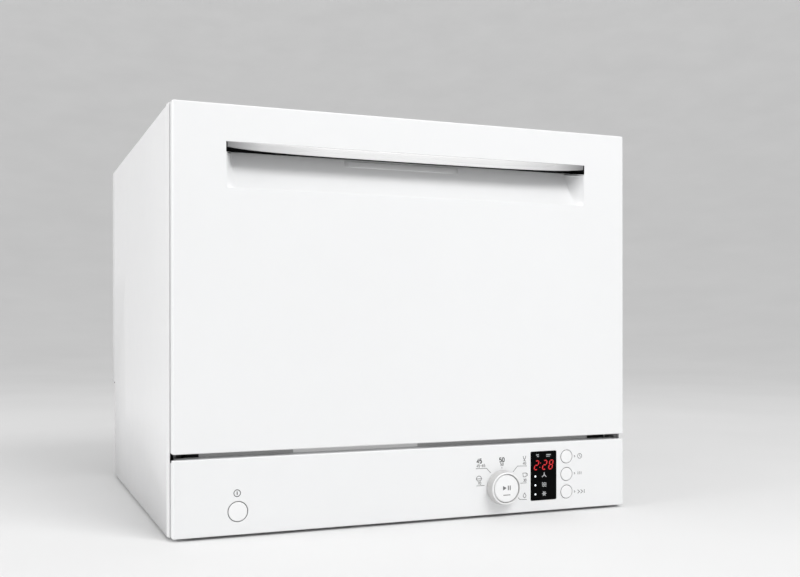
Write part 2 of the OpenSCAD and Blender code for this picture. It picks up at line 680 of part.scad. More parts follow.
outer_casing();
side_trims();
rear_panel();
base_tray();
tub();
door_gasket();
drip_strip();
hinge_brackets();
rack_rails();
lock_housing();
lock_catch();
spray_hub();
spray_arm();
filter_plate();
filter_cup();
sump();
wash_pump();
wash_impeller();
drain_pump();
softener();
salt_cap();
inlet_valve();
drain_spigot();
air_break();
inner_pipes();
control_board();
fascia();
display_window();
programme_knob();
start_button();
power_button();
option_button_1();
option_button_2();
option_button_3();
mains_inlet();
casing_screws();
rear_feet();
levelling_foot_left();
levelling_foot_right();
door_outer_panel();
door_inner_panel();
handle_scoop();
handle_grip();
door_insulation();
detergent_dispenser();
dispenser_lid();
rinse_aid_cap();
door_striker();
hinge_arms();
door_screws();
door_springs();
rack_frame();
rack_tines();
fold_tines();
cup_shelf();
cutlery_basket();
rack_wheel_fl();
rack_wheel_fr();
rack_wheel_rl();
rack_wheel_rr();
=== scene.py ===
import math
import random
import bpy
import bmesh
from mathutils import Vector, Matrix
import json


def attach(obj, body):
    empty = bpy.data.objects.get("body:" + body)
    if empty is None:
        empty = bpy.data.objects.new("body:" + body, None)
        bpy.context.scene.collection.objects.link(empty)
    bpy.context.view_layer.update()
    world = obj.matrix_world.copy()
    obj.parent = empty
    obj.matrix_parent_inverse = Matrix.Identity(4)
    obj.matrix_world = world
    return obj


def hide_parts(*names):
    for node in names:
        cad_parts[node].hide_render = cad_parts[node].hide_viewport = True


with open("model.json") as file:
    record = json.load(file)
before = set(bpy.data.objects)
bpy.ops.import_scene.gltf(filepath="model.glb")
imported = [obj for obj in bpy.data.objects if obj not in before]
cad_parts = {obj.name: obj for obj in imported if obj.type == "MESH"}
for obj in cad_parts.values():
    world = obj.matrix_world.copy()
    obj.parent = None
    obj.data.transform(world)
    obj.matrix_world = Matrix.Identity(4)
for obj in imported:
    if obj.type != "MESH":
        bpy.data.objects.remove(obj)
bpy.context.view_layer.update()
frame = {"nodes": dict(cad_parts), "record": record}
NODE = frame["nodes"]
SLOT_OF = {s["node"]: s["material_slot"] for s in frame["record"]["subparts"]}
MM = 0.001
scene = bpy.context.scene
rnd = random.Random(7)

# ------------------------------------------------------------------ camera
cam_data = bpy.data.cameras.new("camera")
cam = bpy.data.objects.new("camera", cam_data)
scene.collection.objects.link(cam)
cam_data.sensor_width = 36.0
cam_data.lens = 43.472
cam_data.shift_x = 0.0466
cam_data.shift_y = 0.0482
cam_data.clip_start, cam_data.clip_end = 0.05, 60
cam.rotation_mode = "XYZ"
cam.location = (-0.4420, -1.2271, 0.2192)
cam.rotation_euler = (math.radians(90) - 0.00046, 0.0008, -0.36499)
scene.camera = cam

# --------------------------------------------------------------- materials
MATS = {}


def _noise(nt, coord, scale, detail=2.0, rough=0.5, stretch=None, dist=0.0):
    n = nt.nodes.new("ShaderNodeTexNoise")
    n.inputs["Scale"].default_value = scale
    n.inputs["Detail"].default_value = detail
    n.inputs["Roughness"].default_value = rough
    n.inputs["Distortion"].default_value = dist
    src = coord
    if stretch:
        mp = nt.nodes.new("ShaderNodeMapping")
        mp.inputs["Scale"].default_value = stretch
        nt.links.new(coord, mp.inputs["Vector"])
        src = mp.outputs["Vector"]
    nt.links.new(src, n.inputs["Vector"])
    return n


def _ramp(nt, fac, stops):
    r = nt.nodes.new("ShaderNodeValToRGB")
    e = r.color_ramp.elements
    while len(e) < len(stops):
        e.new(0.5)
    for k, (pos, col) in enumerate(stops):
        e[k].position = pos
        e[k].color = (col[0], col[1], col[2], 1) if hasattr(col, "__len__") else (col, col, col, 1)
    nt.links.new(fac, r.inputs["Fac"])
    return r


def material(name, base, rough=0.4, metal=0.0, spec=0.5, coat=0.0, coat_rough=0.08,
             var=0.03, var_scale=14.0, rough_var=0.06, rough_scale=40.0,
             bump=0.1, bump_scale=700.0, bump_dist=0.00005, stretch=None,
             grain=0.0, grain_scale=1800.0, emit=None, emit_strength=0.0, cells=0.0, trans=0.0):
    """A node material: soft colour drift, roughness drift, and a fine bump."""
    m = bpy.data.materials.new(name)
    m.use_nodes = True
    nt = m.node_tree
    nt.nodes.clear()
    out = nt.nodes.new("ShaderNodeOutputMaterial")
    p = nt.nodes.new("ShaderNodeBsdfPrincipled")
    nt.links.new(p.outputs["BSDF"], out.inputs["Surface"])
    coord = nt.nodes.new("ShaderNodeTexCoord").outputs["Object"]
    lo = [max(0.0, c * (1 - var)) for c in base]
    hi = [min(1.0, c * (1 + var)) for c in base]
    n1 = _noise(nt, coord, var_scale, 3.0, 0.55, stretch)
    ramp = _ramp(nt, n1.outputs["Fac"], [(0.3, lo), (0.7, hi)])
    colour = ramp.outputs["Color"]
    if grain > 0:
        n2 = _noise(nt, coord, grain_scale, 1.0, 0.5, stretch)
        g = _ramp(nt, n2.outputs["Fac"], [(0.3, 1 - grain), (0.7, 1.0)])
        mx = nt.nodes.new("ShaderNodeMix")
        mx.data_type = "RGBA"
        mx.blend_type = "MULTIPLY"
        mx.inputs[0].default_value = 1.0
        nt.links.new(colour, mx.inputs[6])
        nt.links.new(g.outputs["Color"], mx.inputs[7])
        colour = mx.outputs[2]
    if cells > 0:
        v = nt.nodes.new("ShaderNodeTexVoronoi")
        v.inputs["Scale"].default_value = cells
        nt.links.new(coord, v.inputs["Vector"])
        g = _ramp(nt, v.outputs["Color"], [(0.1, 0.9), (0.9, 1.0)])
        mx = nt.nodes.new("ShaderNodeMix")
        mx.data_type = "RGBA"
        mx.blend_type = "MULTIPLY"
        mx.inputs[0].default_value = 1.0
        nt.links.new(colour, mx.inputs[6])
        nt.links.new(g.outputs["Color"], mx.inputs[7])
        colour = mx.outputs[2]
    nt.links.new(colour, p.inputs["Base Color"])
    n3 = _noise(nt, coord, rough_scale, 2.0, 0.5, stretch)
    rr = nt.nodes.new("ShaderNodeMapRange")
    rr.inputs["From Min"].default_value = 0.3
    rr.inputs["From Max"].default_value = 0.7
    rr.inputs["To Min"].default_value = max(0.02, rough - rough_var)
    rr.inputs["To Max"].default_value = min(1.0, rough + rough_var)
    nt.links.new(n3.outputs["Fac"], rr.inputs["Value"])
    nt.links.new(rr.outputs["Result"], p.inputs["Roughness"])
    p.inputs["Metallic"].default_value = metal
    p.inputs["Specular IOR Level"].default_value = spec
    p.inputs["Coat Weight"].default_value = coat
    p.inputs["Coat Roughness"].default_value = coat_rough
    if trans > 0:
        p.inputs["Transmission Weight"].default_value = trans
    if emit:
        p.inputs["Emission Color"].default_value = (emit[0], emit[1], emit[2], 1)
        p.inputs["Emission Strength"].default_value = emit_strength
    if bump > 0:
        n4 = _noise(nt, coord, bump_scale, 2.0, 0.6, stretch)
        b = nt.nodes.new("ShaderNodeBump")
        b.inputs["Strength"].default_value = bump
        b.inputs["Distance"].default_value = bump_dist
        nt.links.new(n4.outputs["Fac"], b.inputs["Height"])
        nt.links.new(b.outputs["Normal"], p.inputs["Normal"])
    MATS[name] = m
    return m


material("white_enamel", (0.80, 0.80, 0.805), rough=0.36, coat=0.15, coat_rough=0.2, var=0.008, var_scale=5,
         rough_var=0.04, bump=0.12, bump_scale=900, bump_dist=0.00004)
material("white_gloss", (0.835, 0.84, 0.845), rough=0.33, coat=0.12, coat_rough=0.15, var=0.006, var_scale=4,
         rough_var=0.03, bump=0.05, bump_scale=1400, bump_dist=0.00003)
material("white_key", (0.86, 0.862, 0.865), rough=0.3, coat=0.2, coat_rough=0.12, var=0.006, var_scale=20,
         rough_var=0.03, bump=0.04, bump_scale=1800, bump_dist=0.00002)
material("zinc_sheet", (0.56, 0.57, 0.58), rough=0.42, metal=0.9, var=0.05, var_scale=22, cells=90,
         rough_var=0.1, rough_scale=70, bump=0.1, bump_scale=260, bump_dist=0.00006)
material("base_plastic", (0.075, 0.078, 0.082), rough=0.55, var=0.06, var_scale=30, bump=0.45, bump_scale=1500,
         bump_dist=0.00012, grain=0.12, grain_scale=1500)
material("stainless", (0.60, 0.605, 0.61), rough=0.27, metal=1.0, var=0.025, var_scale=3.0, stretch=(1.2, 30, 60),
         rough_var=0.05, rough_scale=14, bump=0.02, bump_scale=24, bump_dist=0.00002, grain=0.05, grain_scale=26)
material("stainless_bright", (0.66, 0.665, 0.67), rough=0.2, metal=1.0, var=0.02, var_scale=25,
         rough_var=0.05, bump=0.04, bump_scale=600, bump_dist=0.00003)
material("seal_rubber", (0.045, 0.045, 0.047), rough=0.6, spec=0.35, var=0.12, var_scale=60, bump=0.3,
         bump_scale=1300, bump_dist=0.00008)
material("grey_plastic", (0.27, 0.275, 0.28), rough=0.5, var=0.05, var_scale=18, bump=0.3, bump_scale=1300,
         bump_dist=0.00008, grain=0.06)
# The two strip materials glow faintly: painted light that brightens the strip seen in the shaded gap under the door.
material("strip_grey_glowing", (0.35, 0.352, 0.355), rough=0.5, var=0.04, var_scale=14, bump=0.25, bump_scale=1300,
         bump_dist=0.00008, grain=0.05, emit=(1.0, 1.0, 1.0), emit_strength=0.13)
material("strip_pale_glowing", (0.5, 0.5, 0.505), rough=0.5, var=0.03, var_scale=14, bump=0.2, bump_scale=1300,
         bump_dist=0.00008, emit=(1.0, 1.0, 1.0), emit_strength=0.3)
material("zinc_steel", (0.50, 0.51, 0.52), rough=0.34, metal=1.0, var=0.06, var_scale=60, rough_var=0.08,
         bump=0.12, bump_scale=500, bump_dist=0.00005, cells=400)
material("black_plastic", (0.018, 0.018, 0.02), rough=0.45, var=0.15, var_scale=30, bump=0.3, bump_scale=1500,
         bump_dist=0.00008)
material("cavity_black", (0.004, 0.004, 0.0045), rough=0.7, spec=0.12, var=0.2, var_scale=30, bump=0.2,
         bump_scale=900, bump_dist=0.00008)
material("white_plastic", (0.72, 0.72, 0.70), rough=0.42, var=0.02, bump=0.1, bump_scale=1000)
material("arm_plastic", (0.25, 0.27, 0.29), rough=0.45, var=0.05, var_scale=20, bump=0.25, bump_scale=1300,
         bump_dist=0.00006, grain=0.05)
material("natural_plastic", (0.62, 0.62, 0.60), rough=0.42, var=0.03, var_scale=16, bump=0.15, bump_scale=1000,
         bump_dist=0.00006)
material("cap_blue", (0.04, 0.12, 0.30), rough=0.36, var=0.06, var_scale=30, bump=0.15, bump_scale=1300,
         bump_dist=0.00005)
material("board_green", (0.01, 0.06, 0.025), rough=0.3, coat=0.4, var=0.15, var_scale=90, bump=0.2, bump_scale=600)
material("display_glass", (0.0015, 0.0015, 0.0017), rough=0.3, spec=0.03, var=0.1, rough_var=0.03,
         bump=0.02, bump_scale=300, bump_dist=0.00002)
material("knob_grey", (0.60, 0.595, 0.59), rough=0.34, metal=0.15, coat=0.2, var=0.03, var_scale=60,
         rough_var=0.05, bump=0.08, bump_scale=1500, bump_dist=0.00003)
material("ring_grey", (0.42, 0.42, 0.425), rough=0.45, var=0.04, var_scale=60, bump=0.1, bump_scale=1500,
         bump_dist=0.00003)
material("foot_rubber", (0.02, 0.02, 0.021), rough=0.7, spec=0.3, var=0.15, var_scale=60, bump=0.4, bump_scale=1200,
         bump_dist=0.0001)
material("felt", (0.045, 0.042, 0.04), rough=0.95, spec=0.2, var=0.3, var_scale=160, bump=0.8, bump_scale=900,
         bump_dist=0.0005, grain=0.3)
material("rack_coat", (0.17, 0.18, 0.195), rough=0.38, coat=0.2, var=0.05, var_scale=60, rough_var=0.06,
         bump=0.15, bump_scale=500, bump_dist=0.00008)
material("basket_plastic", (0.20, 0.215, 0.235), rough=0.45, var=0.05, var_scale=24, bump=0.25, bump_scale=1300,
         bump_dist=0.00006)
material("wheel_plastic", (0.48, 0.49, 0.50), rough=0.4, var=0.04, var_scale=60, bump=0.15, bump_scale=1300)
material("print_grey", (0.15, 0.15, 0.152), rough=0.5, var=0.05, var_scale=400, bump=0.1, bump_scale=2500,
         bump_dist=0.00001)
material("print_dark", (0.03, 0.03, 0.032), rough=0.5, var=0.08, var_scale=400, bump=0.1, bump_scale=2500,
         bump_dist=0.00001)
material("print_display", (0.42, 0.43, 0.44), rough=0.45, var=0.06, var_scale=500, bump=0.08, bump_scale=2500,
         bump_dist=0.00001)
material("led_red", (0.16, 0.004, 0.004), rough=0.35, var=0.08, var_scale=500, emit=(0.62, 0.008, 0.012),
         emit_strength=0.85, bump=0.05, bump_scale=2500, bump_dist=0.00001)
material("led_white", (0.85, 0.87, 0.9), rough=0.35, var=0.04, var_scale=500, emit=(0.85, 0.92, 1.0),
         emit_strength=0.9, bump=0.05, bump_scale=2500, bump_dist=0.00001)


def grip_material_with_painted_reflection():
    """Satin silver grip with a painted reflection: the base colour is brighter in the middle and darker at its two
    ends, set by position along X.
    """
    m = material("grip_metal", (0.86, 0.86, 0.86), rough=0.26, metal=0.2, coat=0.2, coat_rough=0.1, var=0.02,
                 var_scale=20, rough_var=0.05, bump=0.05, bump_scale=900, bump_dist=0.00003, stretch=(0.05, 1, 1))
    nt = m.node_tree
    p = next(n for n in nt.nodes if n.type == "BSDF_PRINCIPLED")
    coord = next(n for n in nt.nodes if n.type == "TEX_COORD")
    sep = nt.nodes.new("ShaderNodeSeparateXYZ")
    nt.links.new(coord.outputs["Object"], sep.inputs[0])
    ab = nt.nodes.new("ShaderNodeMath")
    ab.operation = "ABSOLUTE"
    nt.links.new(sep.outputs["X"], ab.inputs[0])
    painted_reflection_span = nt.nodes.new("ShaderNodeMapRange")
    painted_reflection_span.inputs["From Min"].default_value = 0.0
    painted_reflection_span.inputs["From Max"].default_value = 0.216
    nt.links.new(ab.outputs[0], painted_reflection_span.inputs["Value"])
    # painted reflection: the ramp lightens the grip's middle and darkens its two ends
    rp = _ramp(nt, painted_reflection_span.outputs["Result"], [(0.0, (1.0, 1.0, 1.0)), (0.5, (0.97, 0.97, 0.97)),
                                          (0.82, (0.72, 0.72, 0.725)), (1.0, (0.26, 0.26, 0.265))])
    old = p.inputs["Base Color"].links[0].from_socket
    mx = nt.nodes.new("ShaderNodeMix")
    mx.data_type = "RGBA"
    mx.blend_type = "MULTIPLY"
    mx.inputs[0].default_value = 1.0
    nt.links.new(old, mx.inputs[6])
    nt.links.new(rp.outputs["Color"], mx.inputs[7])
    nt.links.new(mx.outputs[2], p.inputs["Base Color"])
    return m


grip_material_with_painted_reflection()


# ------------------------------------------------------------ mesh helpers
class Part:
    """Faces in millimetres, each with the material that is current when it is made."""

    def __init__(self):
        self.bm = bmesh.new()
        self.mats = []
        self.mi = 0

    def use(self, name):
        if name not in self.mats:
            self.mats.append(name)
        self.mi = self.mats.index(name)
        return self

    def v(self, p):
        return self.bm.verts.new((p[0] * MM, p[1] * MM, p[2] * MM))

    def face(self, vs):
        keep = []
        for x in vs:
            if x not in keep:
                keep.append(x)
        if len(keep) < 3:
            return None
        try:
            f = self.bm.faces.new(keep)
        except ValueError:
            return None
        f.material_index = self.mi
        f.smooth = True
        return f

    def grid(self, rows, close_u=False, close_v=False, skip=None):
        vs = [[self.v(p) for p in r] for r in rows]
        n, m = len(vs), len(vs[0])
        for i in range(n if close_v else n - 1):
            for j in range(m if close_u else m - 1):
                if skip and skip(i, j):
                    continue
                self.face([vs[i][j], vs[i][(j + 1) % m], vs[(i + 1) % n][(j + 1) % m], vs[(i + 1) % n][j]])
        return vs

    def loft(self, rings, cap0=True, cap1=True):
        vs = self.grid(rings, close_u=True)
        if cap0:
            self.face(list(reversed(vs[0])))
        if cap1:
            self.face(vs[-1])
        return vs

    def box(self, x0, x1, y0, y1, z0, z1):
        self.loft([[(x0, y0, z), (x1, y0, z), (x1, y1, z), (x0, y1, z)] for z in (z0, z1)])

    def prism(self, pts, axis, a, b):
        """Outline pts extruded from a to b. axis x: pts are (y, z); y: (x, z); z: (x, y)."""
        put = {"x": lambda p, t: (t, p[0], p[1]), "y": lambda p, t: (p[0], t, p[1]), "z": lambda p, t: (p[0], p[1], t)}[axis]
        self.loft([[put(p, a) for p in pts], [put(p, b) for p in pts]])

    def lathe(self, prof, c, axis="z", seg=48, closed=False, a0=0.0):
        """prof: (radius, height) along the axis from c. A closed profile makes a ring."""
        put = {"x": lambda r, h, a: (c[0] + h, c[1] + r * math.cos(a), c[2] + r * math.sin(a)),
               "y": lambda r, h, a: (c[0] + r * math.cos(a), c[1] + h, c[2] + r * math.sin(a)),
               "z": lambda r, h, a: (c[0] + r * math.cos(a), c[1] + r * math.sin(a), c[2] + h)}[axis]
        rings = []
        for r, h in prof:
            if r < 1e-6:
                v = self.v(put(0, h, 0))
                rings.append([v] * seg)
            else:
                rings.append([self.v(put(r, h, a0 + 2 * math.pi * k / seg)) for k in range(seg)])
        n = len(rings)
        for i in range(n if closed else n - 1):
            for k in range(seg):
                a, b = rings[i], rings[(i + 1) % n]
                self.face([a[k], a[(k + 1) % seg], b[(k + 1) % seg], b[k]])
        return rings

    def tube(self, pts, r, seg=8, closed=False, caps=True, flat=1.0, up=None):
        """A round wire along pts. flat squeezes it along its second axis."""
        P = [Vector(p) for p in pts]
        n = len(P)
        T = []
        for i in range(n):
            if closed:
                t = P[(i + 1) % n] - P[(i - 1) % n]
            else:
                t = P[min(i + 1, n - 1)] - P[max(i - 1, 0)]
            T.append(t.normalized() if t.length > 1e-9 else Vector((0, 0, 1)))
        ref = Vector(up) if up else (Vector((0, 0, 1)) if abs(T[0].z) < 0.9 else Vector((0, 1, 0)))
        u = T[0].cross(ref).normalized()
        rings = []
        for i in range(n):
            if i:
                u = (u - T[i] * u.dot(T[i])).normalized()
            w = T[i].cross(u).normalized()
            if 0 < i < n - 1 or closed:
                a, b = P[i] - P[(i - 1) % n], P[(i + 1) % n] - P[i]
                ang = a.angle(b) if a.length > 1e-9 and b.length > 1e-9 else 0.0
                k = 1 / max(0.5, math.cos(ang / 2))
            else:
                k = 1.0
            side = (T[i].cross(P[min(i + 1, n - 1)] - P[i])) if n > 2 else Vector()
            rings.append([self.v(P[i] + u * (r * math.cos(2 * math.pi * q / seg)) +
                                 w * (r * flat * math.sin(2 * math.pi * q / seg))) for q in range(seg)])
        for i in range(n if closed else n - 1):
            a, b = rings[i], rings[(i + 1) % n]
            for q in range(seg):
                self.face([a[q], a[(q + 1) % seg], b[(q + 1) % seg], b[q]])
        if caps and not closed:
            self.face(list(reversed(rings[0])))
            self.face(rings[-1])

    def wire(self, pts, r, bend=6.0, seg=8, closed=False, steps=4):
        self.tube(fillet(pts, bend, steps, closed), r, seg=seg, closed=closed)

    def stroke(self, pts, w, y, t=0.06, closed=False):
        """A printed line on the front plane: pts are (x, z), w wide, t thick, its face at y - t."""
        n = len(pts)
        w = w * 1.3
        P = [Vector((p[0], p[1])) for p in pts]
        L, R = [], []
        for i in range(n):
            if closed:
                a, b = P[i] - P[i - 1], P[(i + 1) % n] - P[i]
            else:
                a = P[i] - P[i - 1] if i else P[1] - P[0]
                b = P[i + 1] - P[i] if i < n - 1 else P[-1] - P[-2]
            a, b = a.normalized(), b.normalized()
            t2 = (a + b)
            t2 = t2.normalized() if t2.length > 1e-6 else a
            nn = Vector((-t2.y, t2.x))
            k = 1 / max(0.6, nn.dot(Vector((-a.y, a.x))))
            L.append(P[i] + nn * (w / 2 * k))
            R.append(P[i] - nn * (w / 2 * k))
        rows = []
        for i in range(n):
            rows.append([(L[i].x, y, L[i].y), (L[i].x, y - t, L[i].y), (R[i].x, y - t, R[i].y), (R[i].x, y, R[i].y)])
        vs = self.grid(rows, close_u=True, close_v=closed)
        if not closed:
            self.face(list(reversed(vs[0])))
            self.face(vs[-1])

    def dot(self, x, z, r, y, t=0.06, seg=16):
        self.lathe([(0, -t), (r, -t), (r, 0.02)], (x, y, z), "y", seg)

    def poly(self, pts, y, t=0.06):
        self.prism(pts, "y", y - t, y + 0.02)


def fillet(pts, r, steps=4, closed=False):
    """Rounds the corners of a line of points."""
    P = [Vector(p) for p in pts]
    n = len(P)
    out = []
    for i in range(n):
        if not closed and i in (0, n - 1):
            out.append(P[i])
            continue
        a, b, c = P[(i - 1) % n], P[i], P[(i + 1) % n]
        u, w = (a - b), (c - b)
        d = min(r, u.length * 0.45, w.length * 0.45)
        if u.length < 1e-6 or w.length < 1e-6 or u.angle(w) > math.radians(176):
            out.append(b)
            continue
        p0, p1 = b + u.normalized() * d, b + w.normalized() * d
        for k in range(steps + 1):
            t = k / steps
            out.append(p0.lerp(b, t).lerp(b.lerp(p1, t), t))
    return [tuple(p) for p in out]


def rrect(x0, x1, z0, z1, r, n=4):
    """Rounded rectangle as (x, z) points, counter-clockwise."""
    out = []
    for cx, cz, a in ((x1 - r, z0 + r, -90), (x1 - r, z1 - r, 0), (x0 + r, z1 - r, 90), (x0 + r, z0 + r, 180)):
        for k in range(n + 1):
            b = math.radians(a + 90 * k / n)
            out.append((cx + r * math.cos(b), cz + r * math.sin(b)))
    return out


def pillow(part, x0, x1, z0, z1, r, y_back, y_front, edge=0.6, steps=3, n=5):
    """A rounded-rectangle slab facing -Y with rolled front edges."""
    rings = [[(x, y_back, z) for x, z in rrect(x0, x1, z0, z1, r, n)]]
    for k in range(steps + 1):
        a = math.pi / 2 * k / steps
        d = edge * (1 - math.cos(a))
        rings.append([(x, y_front + edge * (1 - math.sin(a)), z) for x, z in
                      rrect(x0 + d, x1 - d, z0 + d, z1 - d, max(0.05, r - d), n)])
    part.loft(rings)


def carve(obj, cutters, keep_cutters=False):
    """Subtracts cutter objects one after the other, and leaves plain mesh data."""
    def settle():
        bpy.context.view_layer.update()
        me = bpy.data.meshes.new_from_object(obj.evaluated_get(bpy.context.evaluated_depsgraph_get()))
        return me

    me = settle()
    obj.modifiers.clear()
    obj.data = me
    for c in cutters:
        count = len(obj.data.polygons)
        lo = [min(v.co[i] for v in obj.data.vertices) - 1e-6 for i in range(3)]
        hi = [max(v.co[i] for v in obj.data.vertices) + 1e-6 for i in range(3)]
        for solver, own in (("EXACT", False), ("EXACT", True), ("FAST", False)):
            m = obj.modifiers.new("cut", "BOOLEAN")
            m.operation = "DIFFERENCE"
            m.solver = solver
            if solver == "EXACT":
                m.use_self = own
                m.use_hole_tolerant = own
            m.object = c
            me = settle()
            obj.modifiers.clear()
            if len(me.polygons) > count * 0.6 and all(lo[i] <= v.co[i] <= hi[i] for v in me.vertices for i in range(3)):
                obj.data = me
                break
            print("carve", obj.name, c.name, solver, own, "left", len(me.polygons), "of", count)
    if not keep_cutters:
        for c in cutters:
            bpy.data.objects.remove(c)
    return obj


def to_object(name, part, recalc=True, inside=None):
    bm = part.bm
    bmesh.ops.remove_doubles(bm, verts=bm.verts, dist=2e-7)
    if recalc:
        bmesh.ops.recalc_face_normals(bm, faces=bm.faces)
    if inside is not None:
        c = Vector(inside) * MM
        s = sum((f.calc_center_median() - c).dot(f.normal) * f.calc_area() for f in bm.faces)
        if s < 0:
            bmesh.ops.reverse_faces(bm, faces=bm.faces)
    me = bpy.data.meshes.new(name)
    bm.to_mesh(me)
    bm.free()
    for m in part.mats or ["white_gloss"]:
        me.materials.append(MATS[m])
    o = bpy.data.objects.new(name, me)
    scene.collection.objects.link(o)
    return o


def dress(o, body, slot=None, nodes=(), sharp=38, bevel=0.0, seg=2, thick=0.0, weighted=False, angle=32):
    """Modifiers, shading, body and the CAD nodes that the piece stands for. The slot argument is not used."""
    me = o.data
    for p in me.polygons:
        p.use_smooth = True
    if thick:
        s = o.modifiers.new("sheet", "SOLIDIFY")
        s.thickness = abs(thick) * MM
        s.offset = -1 if thick > 0 else 1
        s.use_even_offset = True
    if bevel:
        b = o.modifiers.new("edge", "BEVEL")
        b.width = bevel * MM
        b.segments = seg
        b.limit_method = "ANGLE"
        b.angle_limit = math.radians(angle)
        b.miter_outer = "MITER_SHARP"
        w = o.modifiers.new("shade", "WEIGHTED_NORMAL")
        w.keep_sharp = True
        w.weight = 60
    else:
        me.set_sharp_from_angle(angle=math.radians(sharp))
        if weighted:
            w = o.modifiers.new("shade", "WEIGHTED_NORMAL")
            w.keep_sharp = True
    if nodes:
        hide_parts(*nodes)
    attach(o, body)
    return o


def piece(name, part, body, slot=None, nodes=(), **kw):
    recalc = kw.pop("recalc", True)
    inside = kw.pop("inside", None)
    return dress(to_object(name, part, recalc, inside), body, slot, nodes, **kw)


# ------------------------------------------------- finish of the CAD nodes
for name, o in NODE.items():
    o.data.materials.clear()
    o.data.materials.append(MATS[SLOT_OF[name]])
    if name in ("tub", "rack_frame"):
        continue
    w = o.modifiers.new("weld", "WELD")
    w.merge_threshold = 1e-5
    b = o.modifiers.new("edge", "BEVEL")
    b.width = 0.0003
    b.segments = 2
    b.limit_method = "ANGLE"
    b.angle_limit = math.radians(40)
    n = o.modifiers.new("shade", "WEIGHTED_NORMAL")
    n.keep_sharp = True

# ================================================================ exterior
HW, H, YF, YC, YR = 275.5, 450.0, -244.0, -223.0, 256.0


def corner(cx, cz, r, a0, a1, n=6):
    return [(cx + r * math.cos(math.radians(a0 + (a1 - a0) * k / n)),
             cz + r * math.sin(math.radians(a0 + (a1 - a0) * k / n))) for k in range(n + 1)]


# ---- outer casing: one sheet folded over the sides and the top
def casing_line(d):
    x, r = HW - d, 4 - d
    return ([(-x, 3.0), (-x, 138.0), (-x, 300.0)] + corner(-HW + 4, H - 4, r, 180, 90) +
            [(-90.0, H - d), (90.0, H - d)] + corner(HW - 4, H - 4, r, 90, 0) + [(x, 300.0), (x, 138.0), (x, 3.0)])


p = Part().use("white_enamel")
ys = [(YR, 0.0), (YR - 26, 0.0), (100, 0.0), (-60, 0.0), (YC + 1.5, 0.0), (YC + 1.0, 0.08), (YC + 0.5, 0.36),
      (YC + 0.12, 0.85), (YC, 1.4), (YC, 2.4)]
rows = [[(x, y, z) for x, z in casing_line(d)] for y, d in ys]
last = len(rows[0]) - 2
p.grid(rows, skip=lambda i, j: i == 0 and j in (0, last))
casing = piece("outer_casing_sheet", p, "cabinet", "white_enamel", ["outer_casing"], recalc=True, inside=(0, 0, 200),
               thick=1.2, sharp=50)

p = Part().use("white_enamel")
for s in (-1, 1):
    x0, x1 = sorted((s * 263, s * 274.2))
    p.box(x0, x1, YC + 0.01, YC + 1.2, 118, 442)
    p.box(*sorted((s * 263, s * 264.2)), YC + 0.8, YC + 9, 118, 442)
p.box(-272.5, 272.5, YC + 0.01, YC + 1.2, 442, 448.8)
# the back edges of the sheet are folded round the rear panel
for s in (-1, 1):
    p.box(*sorted((s * 272.2, s * 274.3)), 252.2, 253.3, 139, 444)
piece("casing_flanges", p, "cabinet", "white_enamel", bevel=0.35)

# ---- side trims
p = Part().use("white_enamel")
for s in (-1, 1):
    prof = [(HW - 0.02, YC - 1.3), (HW - 0.3, YC - 0.75), (HW - 0.9, YC - 0.4), (HW - 2.0, YC - 0.3), (HW - 2.0, YC - 10.4),
            (HW - 1.72, YC - 10.38), (HW - 1.3, YC - 10.25), (HW - 0.95, YC - 9.95), (HW - 0.8, YC - 9.5), (HW - 0.4, YC - 5.0)]
    outline = [(s * x, y) for x, y in (prof if s > 0 else reversed(prof))]
    rings = []
    for z, d in ((3.0, 0.25), (3.3, 0.0), (200, 0), (448.6, 0.0), (449.0, 0.25)):
        rings.append([(x - s * d, y, z) for x, y in outline])
    p.loft(rings)
piece("side_trims_piece", p, "cabinet", "white_enamel", ["side_trims"], sharp=30)


# ---- the plan line that the door and the fascia share
def plan(d, n=8):
    w = HW - 2.4
    out = [(-(w - d), YC - 0.4), (-(w - d), -233.0), (-(w - d), YF + 4.2)]
    for k in range(1, n + 1):
        a = math.pi / 2 * k / n
        out.append((-(w - 2.6 + (2.6 - d) * math.cos(a)), YF + 4.2 - (4.2 - d) * math.sin(a)))
    mid = [-217.2, -120.0, 0.0, 120.0, 217.2]
    left = list(out)
    return left + [(x, YF + d) for x in mid] + [(-x, y) for x, y in reversed(left)]


def shell_rows(z0, z1, extra, r=1.5, n=4):
    """Rows of the moulding's skin with rolled upper and lower edges."""
    zs = []
    for k in range(n + 1):
        a = math.pi / 2 * k / n
        zs.append((z0 + r * (1 - math.sin(a)), r * (1 - math.cos(a))))
    zs = sorted(zs)
    lo = [(z0 + r * (1 - math.sin(math.pi / 2 * k / n)), r * (1 - math.cos(math.pi / 2 * k / n))) for k in range(n, -1, -1)]
    lo = [(z, d) for z, d in sorted(((z, r - (r * math.cos(math.asin(max(-1, min(1, 1 - (z - z0) / r)))))) for z, _ in lo))]
    hi = [(z1 - (z - z0), d) for z, d in reversed(lo)]
    return lo + [(z, 0.0) for z in extra] + hi


def door_skin(p, z0, z1, extra, skip=None, r=1.5):
    zd = shell_rows(z0, z1, extra, r)
    rows = [[(x, y, z) for x, y in plan(d)] for z, d in zd]
    vs = p.grid(rows, skip=(lambda i, j: skip(rows[i][j], rows[i + 1][j + 1])) if skip else None)
    return zd, vs


def lids(p, vs):
    """Closes the skin's top and bottom back to the moulding's rear edge."""
    for row in (vs[0], vs[-1]):
        n = len(row)
        for k in range(9):
            p.face([row[k], row[k + 1], row[n - 2 - k], row[n - 1 - k]])
        p.face(row[9:n - 9])


# ---- door
p = Part().use("white_gloss")
zd, vs = door_skin(p, 89.0, 450.0, [140.0, 250.0, 362.7, 411.3],
                   skip=lambda a, b: a[0] > -217.3 and b[0] < 217.3 and a[2] > 362.6 and b[2] < 411.4)
lids(p, vs)
door = to_object("door_outer_moulding", p, True, (0, -100, 260))

cuts = []


def cutter(fn):
    q = Part().use("white_gloss")
    fn(q)
    o = to_object("cutter", q)
    cuts.append(o)


